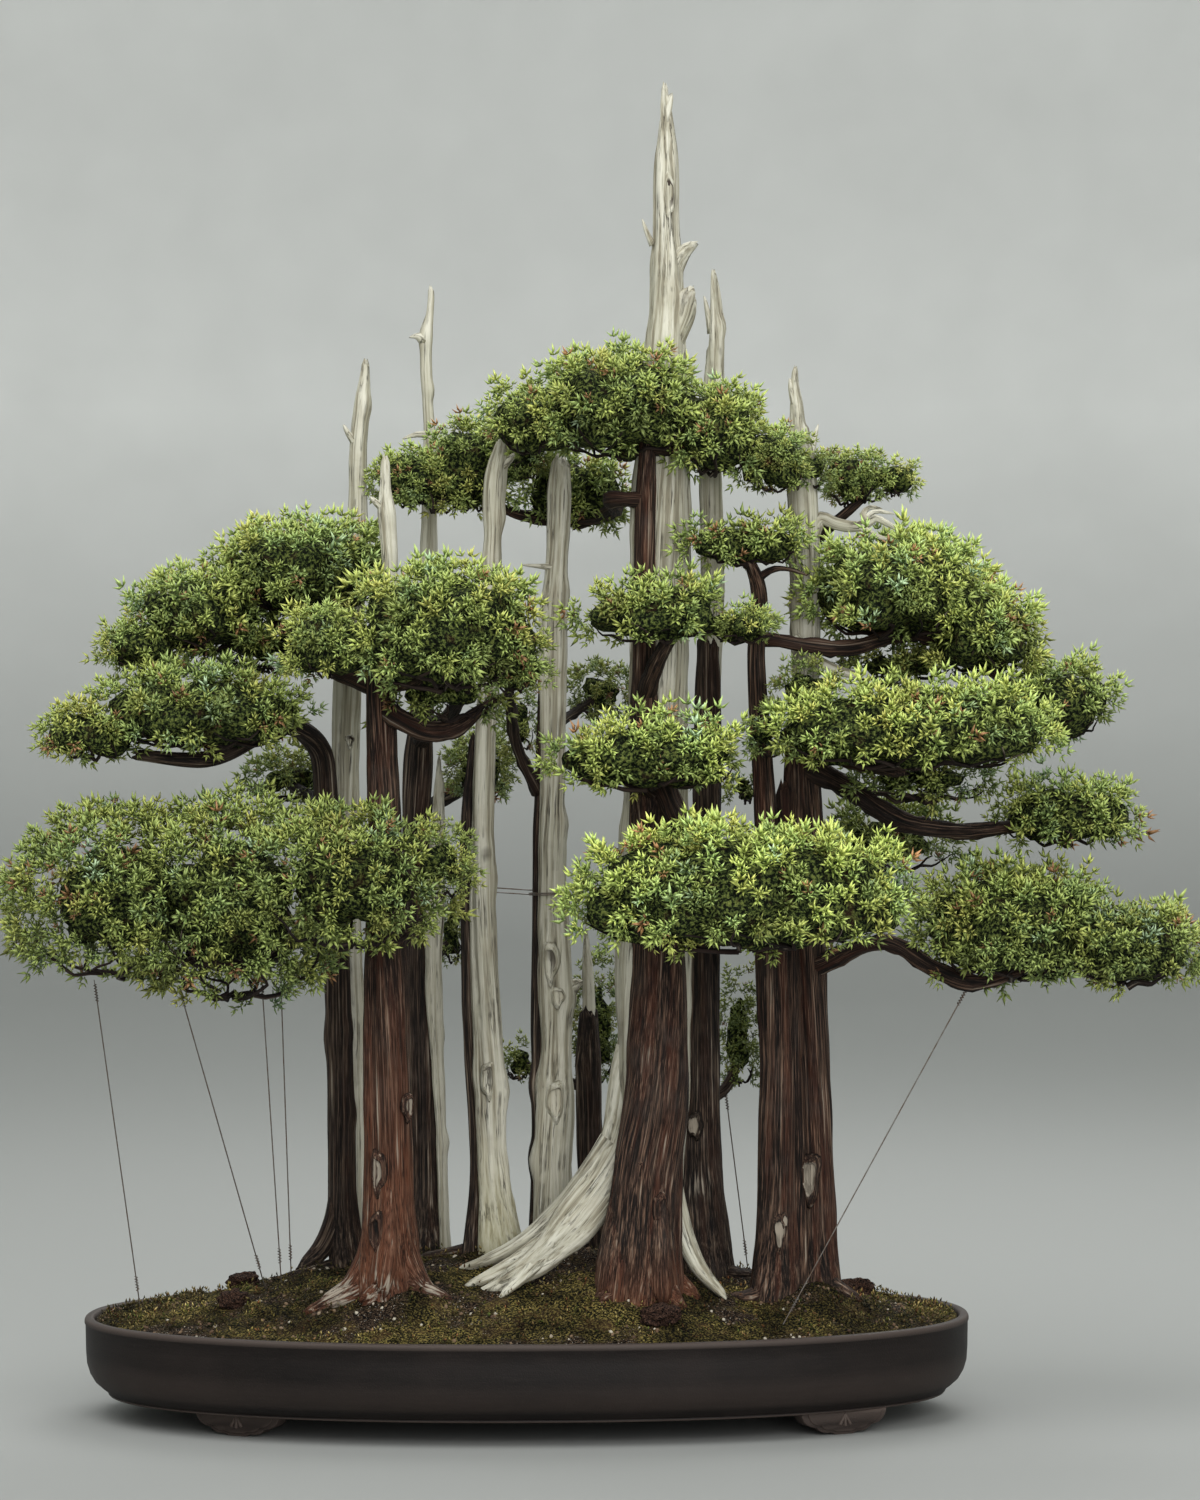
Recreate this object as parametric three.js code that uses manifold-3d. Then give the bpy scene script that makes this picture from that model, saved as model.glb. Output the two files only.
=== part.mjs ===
// A juniper forest bonsai: ten old trunks with bleached deadwood, their foliage pads of pointed sprays,
// the mounded soil that they stand in, a shallow oval pot on four cloud feet, and the guy wires.
// Millimetres, +Z up. X runs along the pot's length and -Y is the side that the forest is seen from.

import * as THREE from "three";
import { mergeVertices } from "three/addons/utils/BufferGeometryUtils.js";
import Module from "manifold-3d";

const wasm = await Module();
wasm.setup();

// Driving dimensions of the pot, measured at its lip.
const POT_HALF_LENGTH = 398;
const POT_HALF_WIDTH = 229;
const POT_HEIGHT = 84;
const FOOT_HEIGHT = 14;
const FLOOR_TOP = 25;
const OVAL_POWER = 2.2; // 2 is a true ellipse; a little more squares the ends
const LIP_WIDTH = 9;
const OVAL_SIDES = 28;

// The pot's profile, as [half width, height] from the middle of its floor out and up, and back in.
const POT_OUTSIDE = [[0, FOOT_HEIGHT], [206, FOOT_HEIGHT], [209, 17], [220, 27], [227, 42], [228, 74],
  [POT_HALF_WIDTH, 77], [POT_HALF_WIDTH, 82], [227, POT_HEIGHT]];
const POT_INSIDE = [[POT_HALF_WIDTH - LIP_WIDTH, POT_HEIGHT], [218, 56], [211, 40], [198, FLOOR_TOP], [0, FLOOR_TOP]];

// Each foot's middle, how far the front pair stands to the right of it and the rear pair to the left, how far a
// foot is turned to follow the oval, how thick it is, and how far it reaches below the zero level of the knots.
const FOOT_X = 261;
const FOOT_SHIFT = 14;
const FOOT_Y = 134;
const FOOT_TURN = 0.42;
const FOOT_THICKNESS = 18;
const FOOT_DROP = 6;

// Driving dimensions of the planting.
const SEAT_GAP = 0.4; // clearance left between two pieces that touch
const MOUND_RISE = 64; // how far the middle of the soil stands above its edge
const MOUND_POWER = 1.2; // 1 is a cone, 2 is a dome
const SOIL_EDGE = 81;
const SOIL_RINGS = [219 - SEAT_GAP, 186, 142, 84, 0]; // half widths that its top is shaped at
const ROOT_LIFT = 0.1; // of its radius, how far a surface root's middle lies above the soil
const SPRAY_LENGTH = 25; // one leafy shoot
const SPRAY_AREA = 950; // of the pad's outer surface for each shoot
const SPRAYS_LEAST = 20;
const SPRAY_LEAN = 0.5; // how unevenly the shoots point
const POWER_ABOVE = 1.9; // 2 makes the top of a pad an ellipsoid, and less makes it a hill
const POWER_BELOW = 2.6; // more than 2 flattens a pad's underside
const DOME_INSET = 0.75; // of a shoot's length, how far the dome that the shoots stand on lies inside the pad
const DOME_LEAST = 0.45; // of a lump's size, the smallest that its dome is
const BURIED_WITHIN = 0.8; // 1 is a lump's surface
const ROCK_LIFT = 0.55; // of its half height, how far a rock's middle lies above the soil
const WIRE_RADIUS = 0.6;

// Turns a closed geometry into a solid. Only its positions count.
function solidOf(geometry) {
  const bare = geometry.clone();
  bare.deleteAttribute("normal");
  bare.deleteAttribute("uv");
  const merged = mergeVertices(bare, 1e-4);
  return new wasm.Manifold(
    new wasm.Mesh({
      numProp: 3,
      vertProperties: new Float32Array(merged.attributes.position.array),
      triVerts: new Uint32Array(merged.index.array),
    }),
  );
}

// The largest body of a solid: cutting can leave loose scraps, which are dropped.
function largestBody(solid) {
  const bodies = solid.decompose();
  return bodies.reduce((best, body) => (body.volume() > best.volume() ? body : best));
}

function geometryOf(solid) {
  const mesh = solid.getMesh();
  const geometry = new THREE.BufferGeometry();
  geometry.setAttribute("position", new THREE.BufferAttribute(new Float32Array(mesh.vertProperties), 3));
  geometry.setIndex(new THREE.BufferAttribute(new Uint32Array(mesh.triVerts), 1));
  geometry.computeVertexNormals();
  return geometry;
}

// A seeded random draw from 0 to 1, so that every build gives the same forest.
function seeded(seed) {
  let state = seed >>> 0;
  return () => {
    state = (state + 0x6d2b79f5) >>> 0;
    let t = state;
    t = Math.imul(t ^ (t >>> 15), t | 1);
    t ^= t + Math.imul(t ^ (t >>> 7), t | 61);
    return ((t ^ (t >>> 14)) >>> 0) / 4294967296;
  };
}

// Height of the soil at a place in the pot.
function soilHeight(x, y) {
  const far = Math.hypot(x / (POT_HALF_LENGTH - LIP_WIDTH), y / (POT_HALF_WIDTH - LIP_WIDTH));
  const rise = Math.max(0, 1 - far ** MOUND_POWER);
  const roll = 2 * Math.sin(x / 34 + 1) * Math.cos(y / 27);
  return SOIL_EDGE + MOUND_RISE * rise + roll * Math.min(1, 4 * rise);
}

// Turns a lathe round the Z axis into the pot's oval: a radius is a half width, and the half length
// is more by the same amount all along the wall, so that the wall keeps its thickness.
function ovalOf(geometry) {
  const longer = POT_HALF_LENGTH - POT_HALF_WIDTH;
  const floorRadius = 150; // inside this the oval shrinks to the middle in proportion
  const place = geometry.rotateX(Math.PI / 2).attributes.position;
  for (let i = 0; i < place.count; i += 1) {
    const x = place.getX(i);
    const y = place.getY(i);
    const r = Math.hypot(x, y);
    if (r < 1e-6) continue;
    const c = x / r;
    const s = y / r;
    const square = (Math.abs(c) ** OVAL_POWER + Math.abs(s) ** OVAL_POWER) ** (-1 / OVAL_POWER);
    place.setXY(i, (r + longer * Math.min(1, r / floorRadius)) * c * square, r * s * square);
  }
  return geometry;
}

function lathe(points) {
  const profile = points.map(([r, z]) => new THREE.Vector2(r, z));
  return ovalOf(new THREE.LatheGeometry(profile, OVAL_SIDES));
}

// A tapering limb through knots [x, y, z, radius]: a cylinder whose rings are moved to the knots.
// `grow` thickens and lengthens it, for the socket that its neighbour keeps round it.
function limb(knots, { sides = 8, flute = 0.07, turn = 0, grow = 0 } = {}) {
  const at = knots.map(([x, y, z]) => new THREE.Vector3(x, y, z));
  const last = at.length - 1;
  const tangent = at.map((p, i) => at[Math.min(i + 1, last)].clone().sub(at[Math.max(i - 1, 0)]).normalize());
  at[0].addScaledVector(tangent[0], -grow);
  at[last].addScaledVector(tangent[last], grow);
  let across = new THREE.Vector3(1, 0, 0);
  if (Math.abs(tangent[0].x) > 0.8) across = new THREE.Vector3(0, 0, 1);
  const frames = tangent.map((t) => {
    across = across.clone().addScaledVector(t, -across.dot(t)).normalize();
    return { across, beside: new THREE.Vector3().crossVectors(t, across) };
  });
  const geometry = new THREE.CylinderGeometry(1, 1, 1, sides, last);
  const place = geometry.attributes.position;
  for (let i = 0; i < place.count; i += 1) {
    const ring = Math.round((place.getY(i) + 0.5) * last);
    const x = place.getX(i);
    const z = place.getZ(i);
    const angle = Math.atan2(z, x);
    const swell = 1 + flute * Math.cos(3 * angle + turn + ring) + 0.5 * flute * Math.cos(5 * angle - turn);
    const radius = knots[ring][3] * swell + grow;
    const p = at[ring]
      .clone()
      .addScaledVector(frames[ring].across, x * radius)
      .addScaledVector(frames[ring].beside, -z * radius);
    place.setXYZ(i, p.x, p.y, p.z);
  }
  return solidOf(geometry);
}

// A trunk, the first of the list, with the thinner limbs that leave it.
function limbs(list, options) {
  const stout = list[0][1][3] > 20;
  return list
    .map((knots, i) => limb(knots, { sides: i ? 5 : stout ? 8 : 6, turn: 1.3 * i, ...options }))
    .reduce((whole, one) => whole.add(one));
}

// The ten trees. Each has limbs of live bark and of bleached deadwood, every limb a list of knots
// [x, y, z, radius], and the first limb of a list is the trunk. Surface roots are knots [x, y, radius]
// that follow the soil.
const TREES = [
  {
    name: "tree_1",
    roots: [
      [[-172, 24, 9], [-192, 14, 7], [-214, 6, 4]],
    ],
    bark: [
      [[-162, 28, 106, 19], [-167, 28, 156, 13.5], [-169, 28, 250, 12], [-171, 28, 364, 12], [-174, 27, 455, 11.5],
        [-180, 23, 546, 10.5], [-187, 17, 595, 10], [-204, -2, 611, 9], [-286, -62, 583, 7], [-345, -82, 588, 4.5]],
      [[-174, 26, 462, 8], [-205, 0, 424, 9], [-255, -62, 404, 9], [-300, -98, 408, 6]],
      [[-180, 30, 536, 7], [-200, 76, 548, 6], [-222, 112, 562, 4]],
    ],
    deadwood: [
      [[-151, 40, 108, 6.5], [-153, 40, 240, 5.5], [-155, 41, 345, 8], [-161, 43, 472, 9.5], [-163, 44, 560, 12.5],
        [-161, 44, 660, 12.5], [-151, 44, 810, 10], [-148, 44, 910, 6.5], [-145, 44, 947, 1.5]],
      [[-153, 42, 868, 4], [-162, 40, 880, 2.5], [-167, 38, 893, 1]],
    ],
  },
  {
    name: "tree_2",
    roots: [
      [[-134, -124, 14], [-158, -132, 9], [-190, -138, 5]],
      [[-106, -128, 13], [-88, -134, 8], [-66, -140, 4.5]],
      [[-126, -134, 12], [-138, -152, 8], [-152, -162, 5]],
    ],
    bark: [
      [[-118, -120, 96, 33], [-118, -120, 140, 27], [-117, -120, 197, 22], [-119, -117, 340, 20.5],
        [-120, -114, 459, 17.5], [-124, -108, 600, 13.5], [-125, -105, 653, 13], [-123, -100, 700, 10]],
      [[-125, -104, 646, 9], [-165, -98, 662, 8], [-222, -45, 706, 5]],
      [[-123, -104, 660, 9], [-104, -140, 650, 8], [-82, -176, 656, 6]],
      [[-120, -116, 446, 9], [-106, -152, 428, 8], [-98, -190, 440, 5]],
    ],
    deadwood: [
      [[-121, -94, 672, 6], [-117, -89, 740, 6], [-120, -86, 801, 8], [-121, -86, 838, 4.5], [-122, -86, 851, 1.5]],
    ],
  },
  {
    name: "tree_3",
    bark: [
      [[-92, 86, 104, 24], [-94, 86, 156, 16], [-97, 88, 268, 14], [-103, 95, 452, 13], [-98, 100, 600, 12],
        [-95, 101, 652, 10]],
      [[-98, 92, 600, 8], [-86, 44, 614, 8], [-72, -20, 618, 7], [-44, -140, 650, 3.5]],
      [[-100, 100, 534, 7], [-72, 122, 548, 6], [-48, 138, 560, 4]],
      [[-102, 98, 392, 6], [-86, 124, 402, 5], [-72, 146, 412, 3.5]],
    ],
    deadwood: [
      [[-95, 102, 606, 7], [-92, 106, 711, 8], [-90, 110, 823, 7.5], [-89, 112, 879, 6], [-91, 112, 916, 4.5],
        [-92, 112, 967, 5.5], [-89, 112, 1021, 1.5]],
      [[-90, 112, 884, 3.5], [-102, 110, 884, 2.5], [-114, 108, 880, 1]],
    ],
    strip: [
      [[-76, 75, 108, 6], [-80, 75, 240, 5], [-86, 75, 398, 8], [-81, 75, 527, 6.5], [-80, 75, 586, 1.5]],
    ],
  },
  {
    name: "tree_4",
    roots: [
      [[-54, 6, 8], [-74, 12, 6], [-96, 20, 4]],
    ],
    bark: [
      [[-50, 2, 126, 10], [-46, 3, 185, 7], [-51, 3, 365, 6.5], [-51, 3, 546, 5.5], [-46, 3, 604, 4]],
    ],
    deadwood: [
      [[-22, -5, 124, 25], [-26, -5, 160, 18.5], [-31, -5, 230, 13], [-32, -5, 284, 14.5], [-37, -5, 402, 12],
        [-38, -5, 546, 11], [-31, -5, 690, 9.5], [-28, -5, 780, 8.5], [-23, -5, 850, 9], [-18, -5, 871, 4]],
    ],
  },
  {
    name: "tree_5",
    bark: [
      [[9, 30, 128, 9], [10, 31, 200, 7], [11, 31, 364, 6.5], [14, 31, 546, 6], [18, 34, 690, 4]],
      [[12, 32, 552, 6], [-6, 16, 590, 5.5], [-12, -50, 640, 4], [-16, -110, 654, 3]],
      [[17, 36, 604, 6], [34, 76, 618, 5.5], [66, 122, 640, 4]],
    ],
    deadwood: [
      [[23, 25, 126, 20], [23, 25, 200, 17.5], [25, 25, 273, 17], [26, 25, 318, 14.5], [26, 25, 373, 16],
        [24, 25, 455, 13], [26, 25, 600, 11.5], [28, 25, 727, 12], [30, 25, 764, 10], [32, 25, 818, 11.5],
        [33, 25, 855, 9]],
      [[28, 22, 757, 4], [14, 18, 758, 2.5], [-2, 14, 759, 1]],
      [[34, 24, 372, 7], [44, 22, 378, 5], [50, 20, 380, 2.5]],
    ],
  },
  {
    name: "tree_6",
    bark: [
      [[60, 110, 102, 15], [58, 110, 183, 12], [57, 110, 304, 11], [57, 110, 350, 8]],
      [[60, 112, 300, 6], [62, 134, 306, 5], [64, 152, 318, 3.5]],
      [[56, 112, 276, 5], [34, 122, 284, 4.5], [-6, 134, 299, 3.5]],
    ],
    deadwood: [
      [[57, 111, 320, 5.5], [56, 111, 359, 6.5], [55, 111, 400, 4.5], [54, 111, 427, 1]],
    ],
  },
  {
    name: "tree_7",
    roots: [
      [[84, -146, 14], [66, -164, 9], [54, -174, 5]],
      [[122, -148, 14], [136, -164, 9], [146, -174, 5]],
      [[134, -126, 12], [152, -134, 7], [166, -140, 4]],
    ],
    bark: [
      [[101, -128, 94, 38], [103, -128, 136, 34], [105, -127, 210, 30], [114, -124, 285, 28], [118, -118, 372, 24.5],
        [115, -106, 503, 20], [108, -98, 617, 12.5], [108, -93, 723, 10.5], [110, -89, 830, 9], [114, -86, 905, 5]],
      [[108, -92, 812, 8], [84, -82, 813, 8], [82, -30, 812, 7.5], [82, 30, 811, 7.5], [64, 78, 806, 7],
        [20, 88, 804, 6], [-62, 52, 828, 3.5]],
      [[112, -90, 858, 6], [196, -98, 846, 4]],
      [[108, -102, 640, 9], [118, -132, 668, 8], [130, -154, 690, 5]],
      [[113, -112, 556, 10], [104, -148, 568, 8], [114, -172, 580, 5]],
      [[122, -112, 560, 11], [144, -146, 510, 10], [190, -214, 452, 6]],
    ],
    deadwood: [
      [[110, -98, 102, 31], [113, -95, 240, 33], [114, -92, 423, 33.5], [116, -85, 503, 30], [121, -75, 635, 26],
        [124, -67, 831, 26], [126, -63, 902, 21], [129, -60, 1009, 15], [128, -60, 1071, 11], [128, -60, 1125, 9],
        [129, -60, 1150, 7.5], [127, -60, 1183, 1.5]],
      [[98, -92, 290, 14], [84, -95, 240, 14], [46, -110, 178, 19], [20, -114, 150, 15], [-10, -113, 129, 11],
        [-42, -110, 112, 5]],
      [[50, -100, 170, 14], [15, -98, 152, 11], [-20, -101, 134, 7], [-50, -106, 120, 4]],
      [[136, -92, 215, 10], [152, -114, 142, 7.5], [176, -128, 106, 3]],
      [[138, -60, 1000, 9], [148, -61, 1004, 7], [153, -61, 1002, 4]],
      [[136, -60, 1038, 6], [148, -61, 1046, 4], [156, -61, 1049, 1.5]],
    ],
  },
  {
    name: "tree_8",
    roots: [
      [[174, -18, 10], [190, -24, 7], [206, -30, 4.5]],
    ],
    bark: [
      [[160, -15, 108, 29], [159, -15, 156, 22], [158, -15, 195, 20], [160, -15, 366, 15], [163, -15, 546, 13],
        [166, -14, 692, 11]],
      [[162, -6, 274, 6], [180, 18, 284, 5], [192, 36, 306, 3.5]],
    ],
    deadwood: [
      [[167, -12, 652, 8], [169, -12, 740, 10], [169, -12, 834, 10], [173, -12, 960, 8], [173, -12, 990, 6],
        [171, -12, 1022, 1.5]],
      [[170, -12, 966, 4.5], [163, -13, 999, 1.2]],
    ],
  },
  {
    name: "tree_9",
    roots: [
      [[206, -96, 9], [196, -104, 7], [182, -110, 4]],
    ],
    bark: [
      [[218, -86, 92, 24], [221, -86, 150, 18.5], [222, -86, 282, 15.5], [218, -86, 423, 13.5], [213, -87, 547, 9.5],
        [206, -94, 670, 8], [206, -106, 741, 6.5], [198, -114, 760, 4.5]],
      [[208, -94, 690, 7], [284, -102, 680, 7], [344, -92, 692, 6], [400, -84, 668, 5], [462, -76, 622, 4]],
    ],
  },
  {
    name: "tree_10",
    roots: [
      [[272, -66, 9], [286, -74, 6], [298, -80, 4]],
    ],
    bark: [
      [[260, -58, 90, 23], [259, -58, 150, 19], [258, -58, 244, 18], [253, -58, 404, 17], [248, -58, 546, 17],
        [249, -56, 648, 12]],
      [[249, -44, 620, 8], [252, -36, 700, 6.5], [258, -30, 770, 5.5], [308, -20, 820, 3.5]],
      [[248, -64, 612, 9], [276, -104, 586, 8.5], [332, -152, 570, 6]],
      [[250, -60, 576, 10], [288, -74, 556, 9], [334, -84, 526, 8.5], [388, -86, 518, 7.5], [450, -80, 524, 5]],
      [[254, -60, 396, 9], [328, -104, 418, 7.5], [356, -114, 400, 7.5], [388, -121, 386, 7.5], [440, -124, 396, 5]],
      [[250, -52, 500, 8], [286, -10, 484, 7], [328, 52, 488, 4.5]],
    ],
    deadwood: [
      [[250, -54, 610, 10], [251, -54, 700, 13.5], [249, -54, 840, 13], [247, -54, 872, 9.5], [243, -54, 931, 1.5]],
      [[255, -55, 778, 9], [269, -57, 795, 6.5], [320, -68, 787, 3.5], [338, -73, 787, 1.2]],
      [[254, -54, 846, 5], [263, -54, 880, 1]],
    ],
  },
];

// The foliage pads. A lump is a dome [x, y, z, half length, half depth, rise, fall], z being the level
// where it is widest. Lumps of one pad have grown into each other.
const PADS = {
  crown: [
    [89, -72, 896, 86, 104, 62, 50],
    [12, -60, 886, 52, 70, 42, 34],
    [170, -84, 872, 54, 80, 54, 40],
    [220, -98, 851, 40, 52, 32, 34],
  ],
  crown_left: [
    [-108, 50, 842, 40, 42, 30, 30],
    [-50, 54, 851, 46, 48, 50, 42],
    [45, 90, 831, 60, 52, 46, 37],
    [-10, 50, 866, 40, 44, 42, 30],
  ],
  crown_right: [[292, -20, 837, 30, 38, 30, 28], [332, -20, 836, 26, 30, 18, 18]],
  small_top: [[198, -118, 773, 64, 42, 36, 23]],
  centre_upper: [[115, -160, 708, 76, 58, 42, 26], [192, -158, 698, 44, 45, 27, 16]],
  centre_middle: [[111, -180, 584, 93, 60, 47, 30]],
  centre_low: [[191, -225, 460, 160, 85, 80, 43]],
  right_upper: [[334, -75, 730, 90, 120, 62, 46], [405, -80, 694, 64, 96, 50, 38]],
  right_shoulder: [[479, -72, 630, 56, 74, 48, 30]],
  right_middle: [[338, -170, 603, 133, 78, 58, 32]],
  right_low_middle: [[479, -86, 533, 73, 60, 43, 30]],
  right_low: [[432, -112, 440, 96, 100, 57, 54], [528, -112, 421, 76, 84, 49, 42]],
  left_upper: [
    [-196, -22, 756, 87, 112, 52, 44],
    [-288, -30, 718, 70, 84, 44, 42],
    [-341, -40, 688, 44, 56, 32, 28],
  ],
  left_middle: [
    [-66, -185, 696, 94, 85, 64, 56],
    [-163, -175, 683, 50, 60, 42, 30],
    [-8, -170, 676, 36, 50, 45, 36],
  ],
  left_arm: [[-284, -80, 627, 105, 84, 47, 36], [-384, -82, 607, 52, 54, 36, 25]],
  left_low: [
    [-350, -110, 463, 110, 100, 88, 74],
    [-256, -116, 461, 106, 112, 96, 90],
    [-147, -185, 480, 95, 70, 70, 62],
    [-69, -185, 490, 38, 44, 40, 26],
  ],
  back_left: [[-218, 118, 565, 50, 52, 32, 22]],
  back_left_middle: [[-46, 140, 570, 36, 40, 44, 24]],
  back_left_low: [[-71, 150, 420, 20, 30, 42, 28]],
  back_centre: [[68, 125, 645, 37, 45, 37, 28]],
  back_right: [[332, 62, 508, 76, 62, 46, 32]],
  back_low_centre: [[64, 155, 326, 28, 36, 78, 46]],
  back_low_left: [[-10, 135, 300, 22, 24, 26, 18]],
  back_low_right: [[194, 40, 326, 24, 28, 70, 42]],
};

// Guy wires, each [top, bottom]: from the bough that it draws down to its anchor in the soil.
const WIRES = {
  wire_far_left: [[-383, -60, 388], [-348, 0, 80]],
  wire_left: [[-304, -100, 384], [-234, -10, 102]],
  wire_left_inner: [[-236, -36, 390], [-221, -4, 104]],
  wire_left_outer: [[-222, 2, 404], [-214, 22, 104]],
  wire_right: [[390, -122, 384], [219, -152, 80]],
  wire_back: [[180, 18, 284], [202, 30, 106]],
};

// Pieces of lava rock on the soil: [x, y, half length, half depth, half height].
const ROCKS = {
  rock_left_back: [-256, 14, 14, 12, 9],
  rock_left_front: [-259, -72, 14, 12, 8],
  rock_front: [118, -182, 16, 13, 11],
  rock_right: [294, -22, 15, 12, 9],
};

const DRAIN_X = [-190, 190];
const DRAIN_RADIUS = 15;
const SCREEN_SIDE = 42;
const SCREEN_THICKNESS = 1.2;

// A ball of about the wanted number of faces, whichever solid comes nearer.
function ball(faces) {
  const eighths = Math.max(1, Math.round(Math.sqrt(faces / 8)));
  const twentieths = Math.max(1, Math.round(Math.sqrt(faces / 20)));
  const eighthsNearer = Math.abs(8 * eighths ** 2 - faces) < Math.abs(20 * twentieths ** 2 - faces);
  if (eighthsNearer) return new THREE.OctahedronGeometry(1, eighths - 1);
  return new THREE.IcosahedronGeometry(1, twentieths - 1);
}

// Whether a place lies well inside a lump, where a spray would be hidden.
function isBuried(point, [x, y, z, halfX, halfY, rise, fall]) {
  const halfZ = point.z > z ? rise : fall;
  const far = ((point.x - x) / halfX) ** 2 + ((point.y - y) / halfY) ** 2 + ((point.z - z) / halfZ) ** 2;
  return far < BURIED_WITHIN;
}

// How far a dome reaches under the sprays of a pad that reaches as far as `reach`.
function domeReach(reach) {
  return Math.max(reach - DOME_INSET * SPRAY_LENGTH, DOME_LEAST * reach);
}

// The dome of one lump: a ball pressed to the lump's shape, with full shoulders and a lumpy surface.
function dome([x, y, z, halfX, halfY, rise, fall], phase) {
  const halfZ = (rise + fall) / 2;
  const surface = (4 * Math.PI * (halfX * halfY + halfX * halfZ + halfY * halfZ)) / 3;
  const core = ball(Math.max(SPRAYS_LEAST, surface / SPRAY_AREA));
  const place = core.attributes.position;
  for (let i = 0; i < place.count; i += 1) {
    const [a, b, c] = [place.getX(i), place.getY(i), place.getZ(i)];
    const wave = 0.07 * Math.sin(5 * a + phase) * Math.cos(4 * b - phase) + 0.05 * Math.sin(9 * a - 7 * b);
    const power = c > 0 ? POWER_ABOVE : POWER_BELOW;
    const full = (Math.hypot(a, b) ** power + Math.abs(c) ** power) ** (-1 / power);
    const lump = full + wave;
    const up = domeReach(c > 0 ? rise : fall);
    place.setXYZ(i, x + domeReach(halfX) * a * lump, y + domeReach(halfY) * b * lump, z + up * c * lump);
  }
  return core;
}

// A foliage pad: each face of its domes is raised to the tip of one leafy shoot.
function pad(lumps, seed) {
  const random = seeded(seed);
  const domes = lumps.map((lump, index) => {
    const place = dome(lump, 2 * Math.PI * random()).attributes.position;
    const small = Math.min(1, 0.4 + domeReach(lump[3]) / 60); // sprays of a small lump are shorter
    const raised = [];
    for (let i = 0; i < place.count; i += 3) {
      const corners = [0, 1, 2].map((k) => new THREE.Vector3().fromBufferAttribute(place, i + k));
      const [p, q, r] = corners;
      const normal = q.clone().sub(p).cross(r.clone().sub(p)).normalize();
      const lean = new THREE.Vector3(random() - 0.5, random() - 0.5, 0.5 * random()).multiplyScalar(SPRAY_LEAN);
      const tip = p.clone().add(q).add(r).divideScalar(3);
      const length = SPRAY_LENGTH * (0.8 + 0.4 * random()) * small;
      const buried = lumps.some((other, k) => k !== index && isBuried(tip, other));
      if (!buried) tip.addScaledVector(normal.add(lean).normalize(), length);
      for (let k = 0; k < 3; k += 1) raised.push(...corners[k], ...corners[(k + 1) % 3], ...tip);
    }
    const sprays = new THREE.BufferGeometry();
    sprays.setAttribute("position", new THREE.Float32BufferAttribute(raised, 3));
    return solidOf(sprays);
  });
  return domes.reduce((whole, one) => whole.add(one));
}

function wire([top, bottom], grow = 0) {
  const knots = [[...bottom, WIRE_RADIUS], [...top, WIRE_RADIUS]];
  return limb(knots, { sides: 6, flute: 0, grow });
}

function rock([x, y, halfX, halfY, halfZ], seed, grow = 0) {
  const random = seeded(seed);
  const phase = 2 * Math.PI * random();
  const stone = new THREE.IcosahedronGeometry(1.1, 0);
  const place = stone.attributes.position;
  const z = soilHeight(x, y) + ROCK_LIFT * halfZ;
  for (let i = 0; i < place.count; i += 1) {
    const [a, b, c] = [place.getX(i), place.getY(i), place.getZ(i)];
    const rough = 1 + 0.16 * Math.sin(4 * a + phase) * Math.cos(5 * b + phase) + 0.1 * Math.sin(7 * c - phase);
    place.setXYZ(
      i,
      x + a * (halfX * rough + grow),
      y + b * (halfY * rough + grow),
      z + c * (halfZ * rough + grow),
    );
  }
  return solidOf(stone);
}

function screen(x, grow = 0) {
  const side = SCREEN_SIDE + 2 * grow;
  const middle = FLOOR_TOP + SEAT_GAP + SCREEN_THICKNESS / 2;
  return solidOf(new THREE.BoxGeometry(side, side, SCREEN_THICKNESS + 2 * grow).translate(x, 0, middle));
}

// One cloud foot: a scalloped apron across a corner of the oval, its outline [across, up] being read
// from the pot's floor.
function foot(sideX, sideY) {
  const top = FOOT_HEIGHT + 1;
  const low = -top - FOOT_DROP;
  const outline = new THREE.Shape();
  outline.moveTo(-42, 0);
  outline.lineTo(-41, -4);
  outline.quadraticCurveTo(-38, -13, -27, -14);
  outline.quadraticCurveTo(-22, -20, -13, -19);
  outline.lineTo(-8, low);
  outline.lineTo(8, low);
  outline.lineTo(13, -19);
  outline.quadraticCurveTo(22, -20, 27, -14);
  outline.quadraticCurveTo(38, -13, 41, -4);
  outline.lineTo(42, 0);
  outline.closePath();
  const apron = new THREE.ExtrudeGeometry(outline, { depth: FOOT_THICKNESS, bevelEnabled: false, curveSegments: 2 });
  apron.translate(0, 0, -FOOT_THICKNESS / 2).rotateX(Math.PI / 2);
  apron.rotateZ(sideY > 0 ? Math.PI : 0).rotateZ(-sideX * sideY * FOOT_TURN);
  return solidOf(apron.translate(sideX * FOOT_X - sideY * FOOT_SHIFT, sideY * FOOT_Y, top));
}

function pot() {
  let body = solidOf(lathe([...POT_OUTSIDE, ...POT_INSIDE]));
  for (const [sideX, sideY] of [[-1, -1], [-1, 1], [1, -1], [1, 1]]) body = body.add(foot(sideX, sideY));
  for (const x of DRAIN_X) {
    const bore = new THREE.CylinderGeometry(DRAIN_RADIUS, DRAIN_RADIUS, 2 * FLOOR_TOP, 16).rotateX(Math.PI / 2);
    body = body.subtract(solidOf(bore.translate(x, 0, FOOT_HEIGHT)));
  }
  return body;
}

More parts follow.
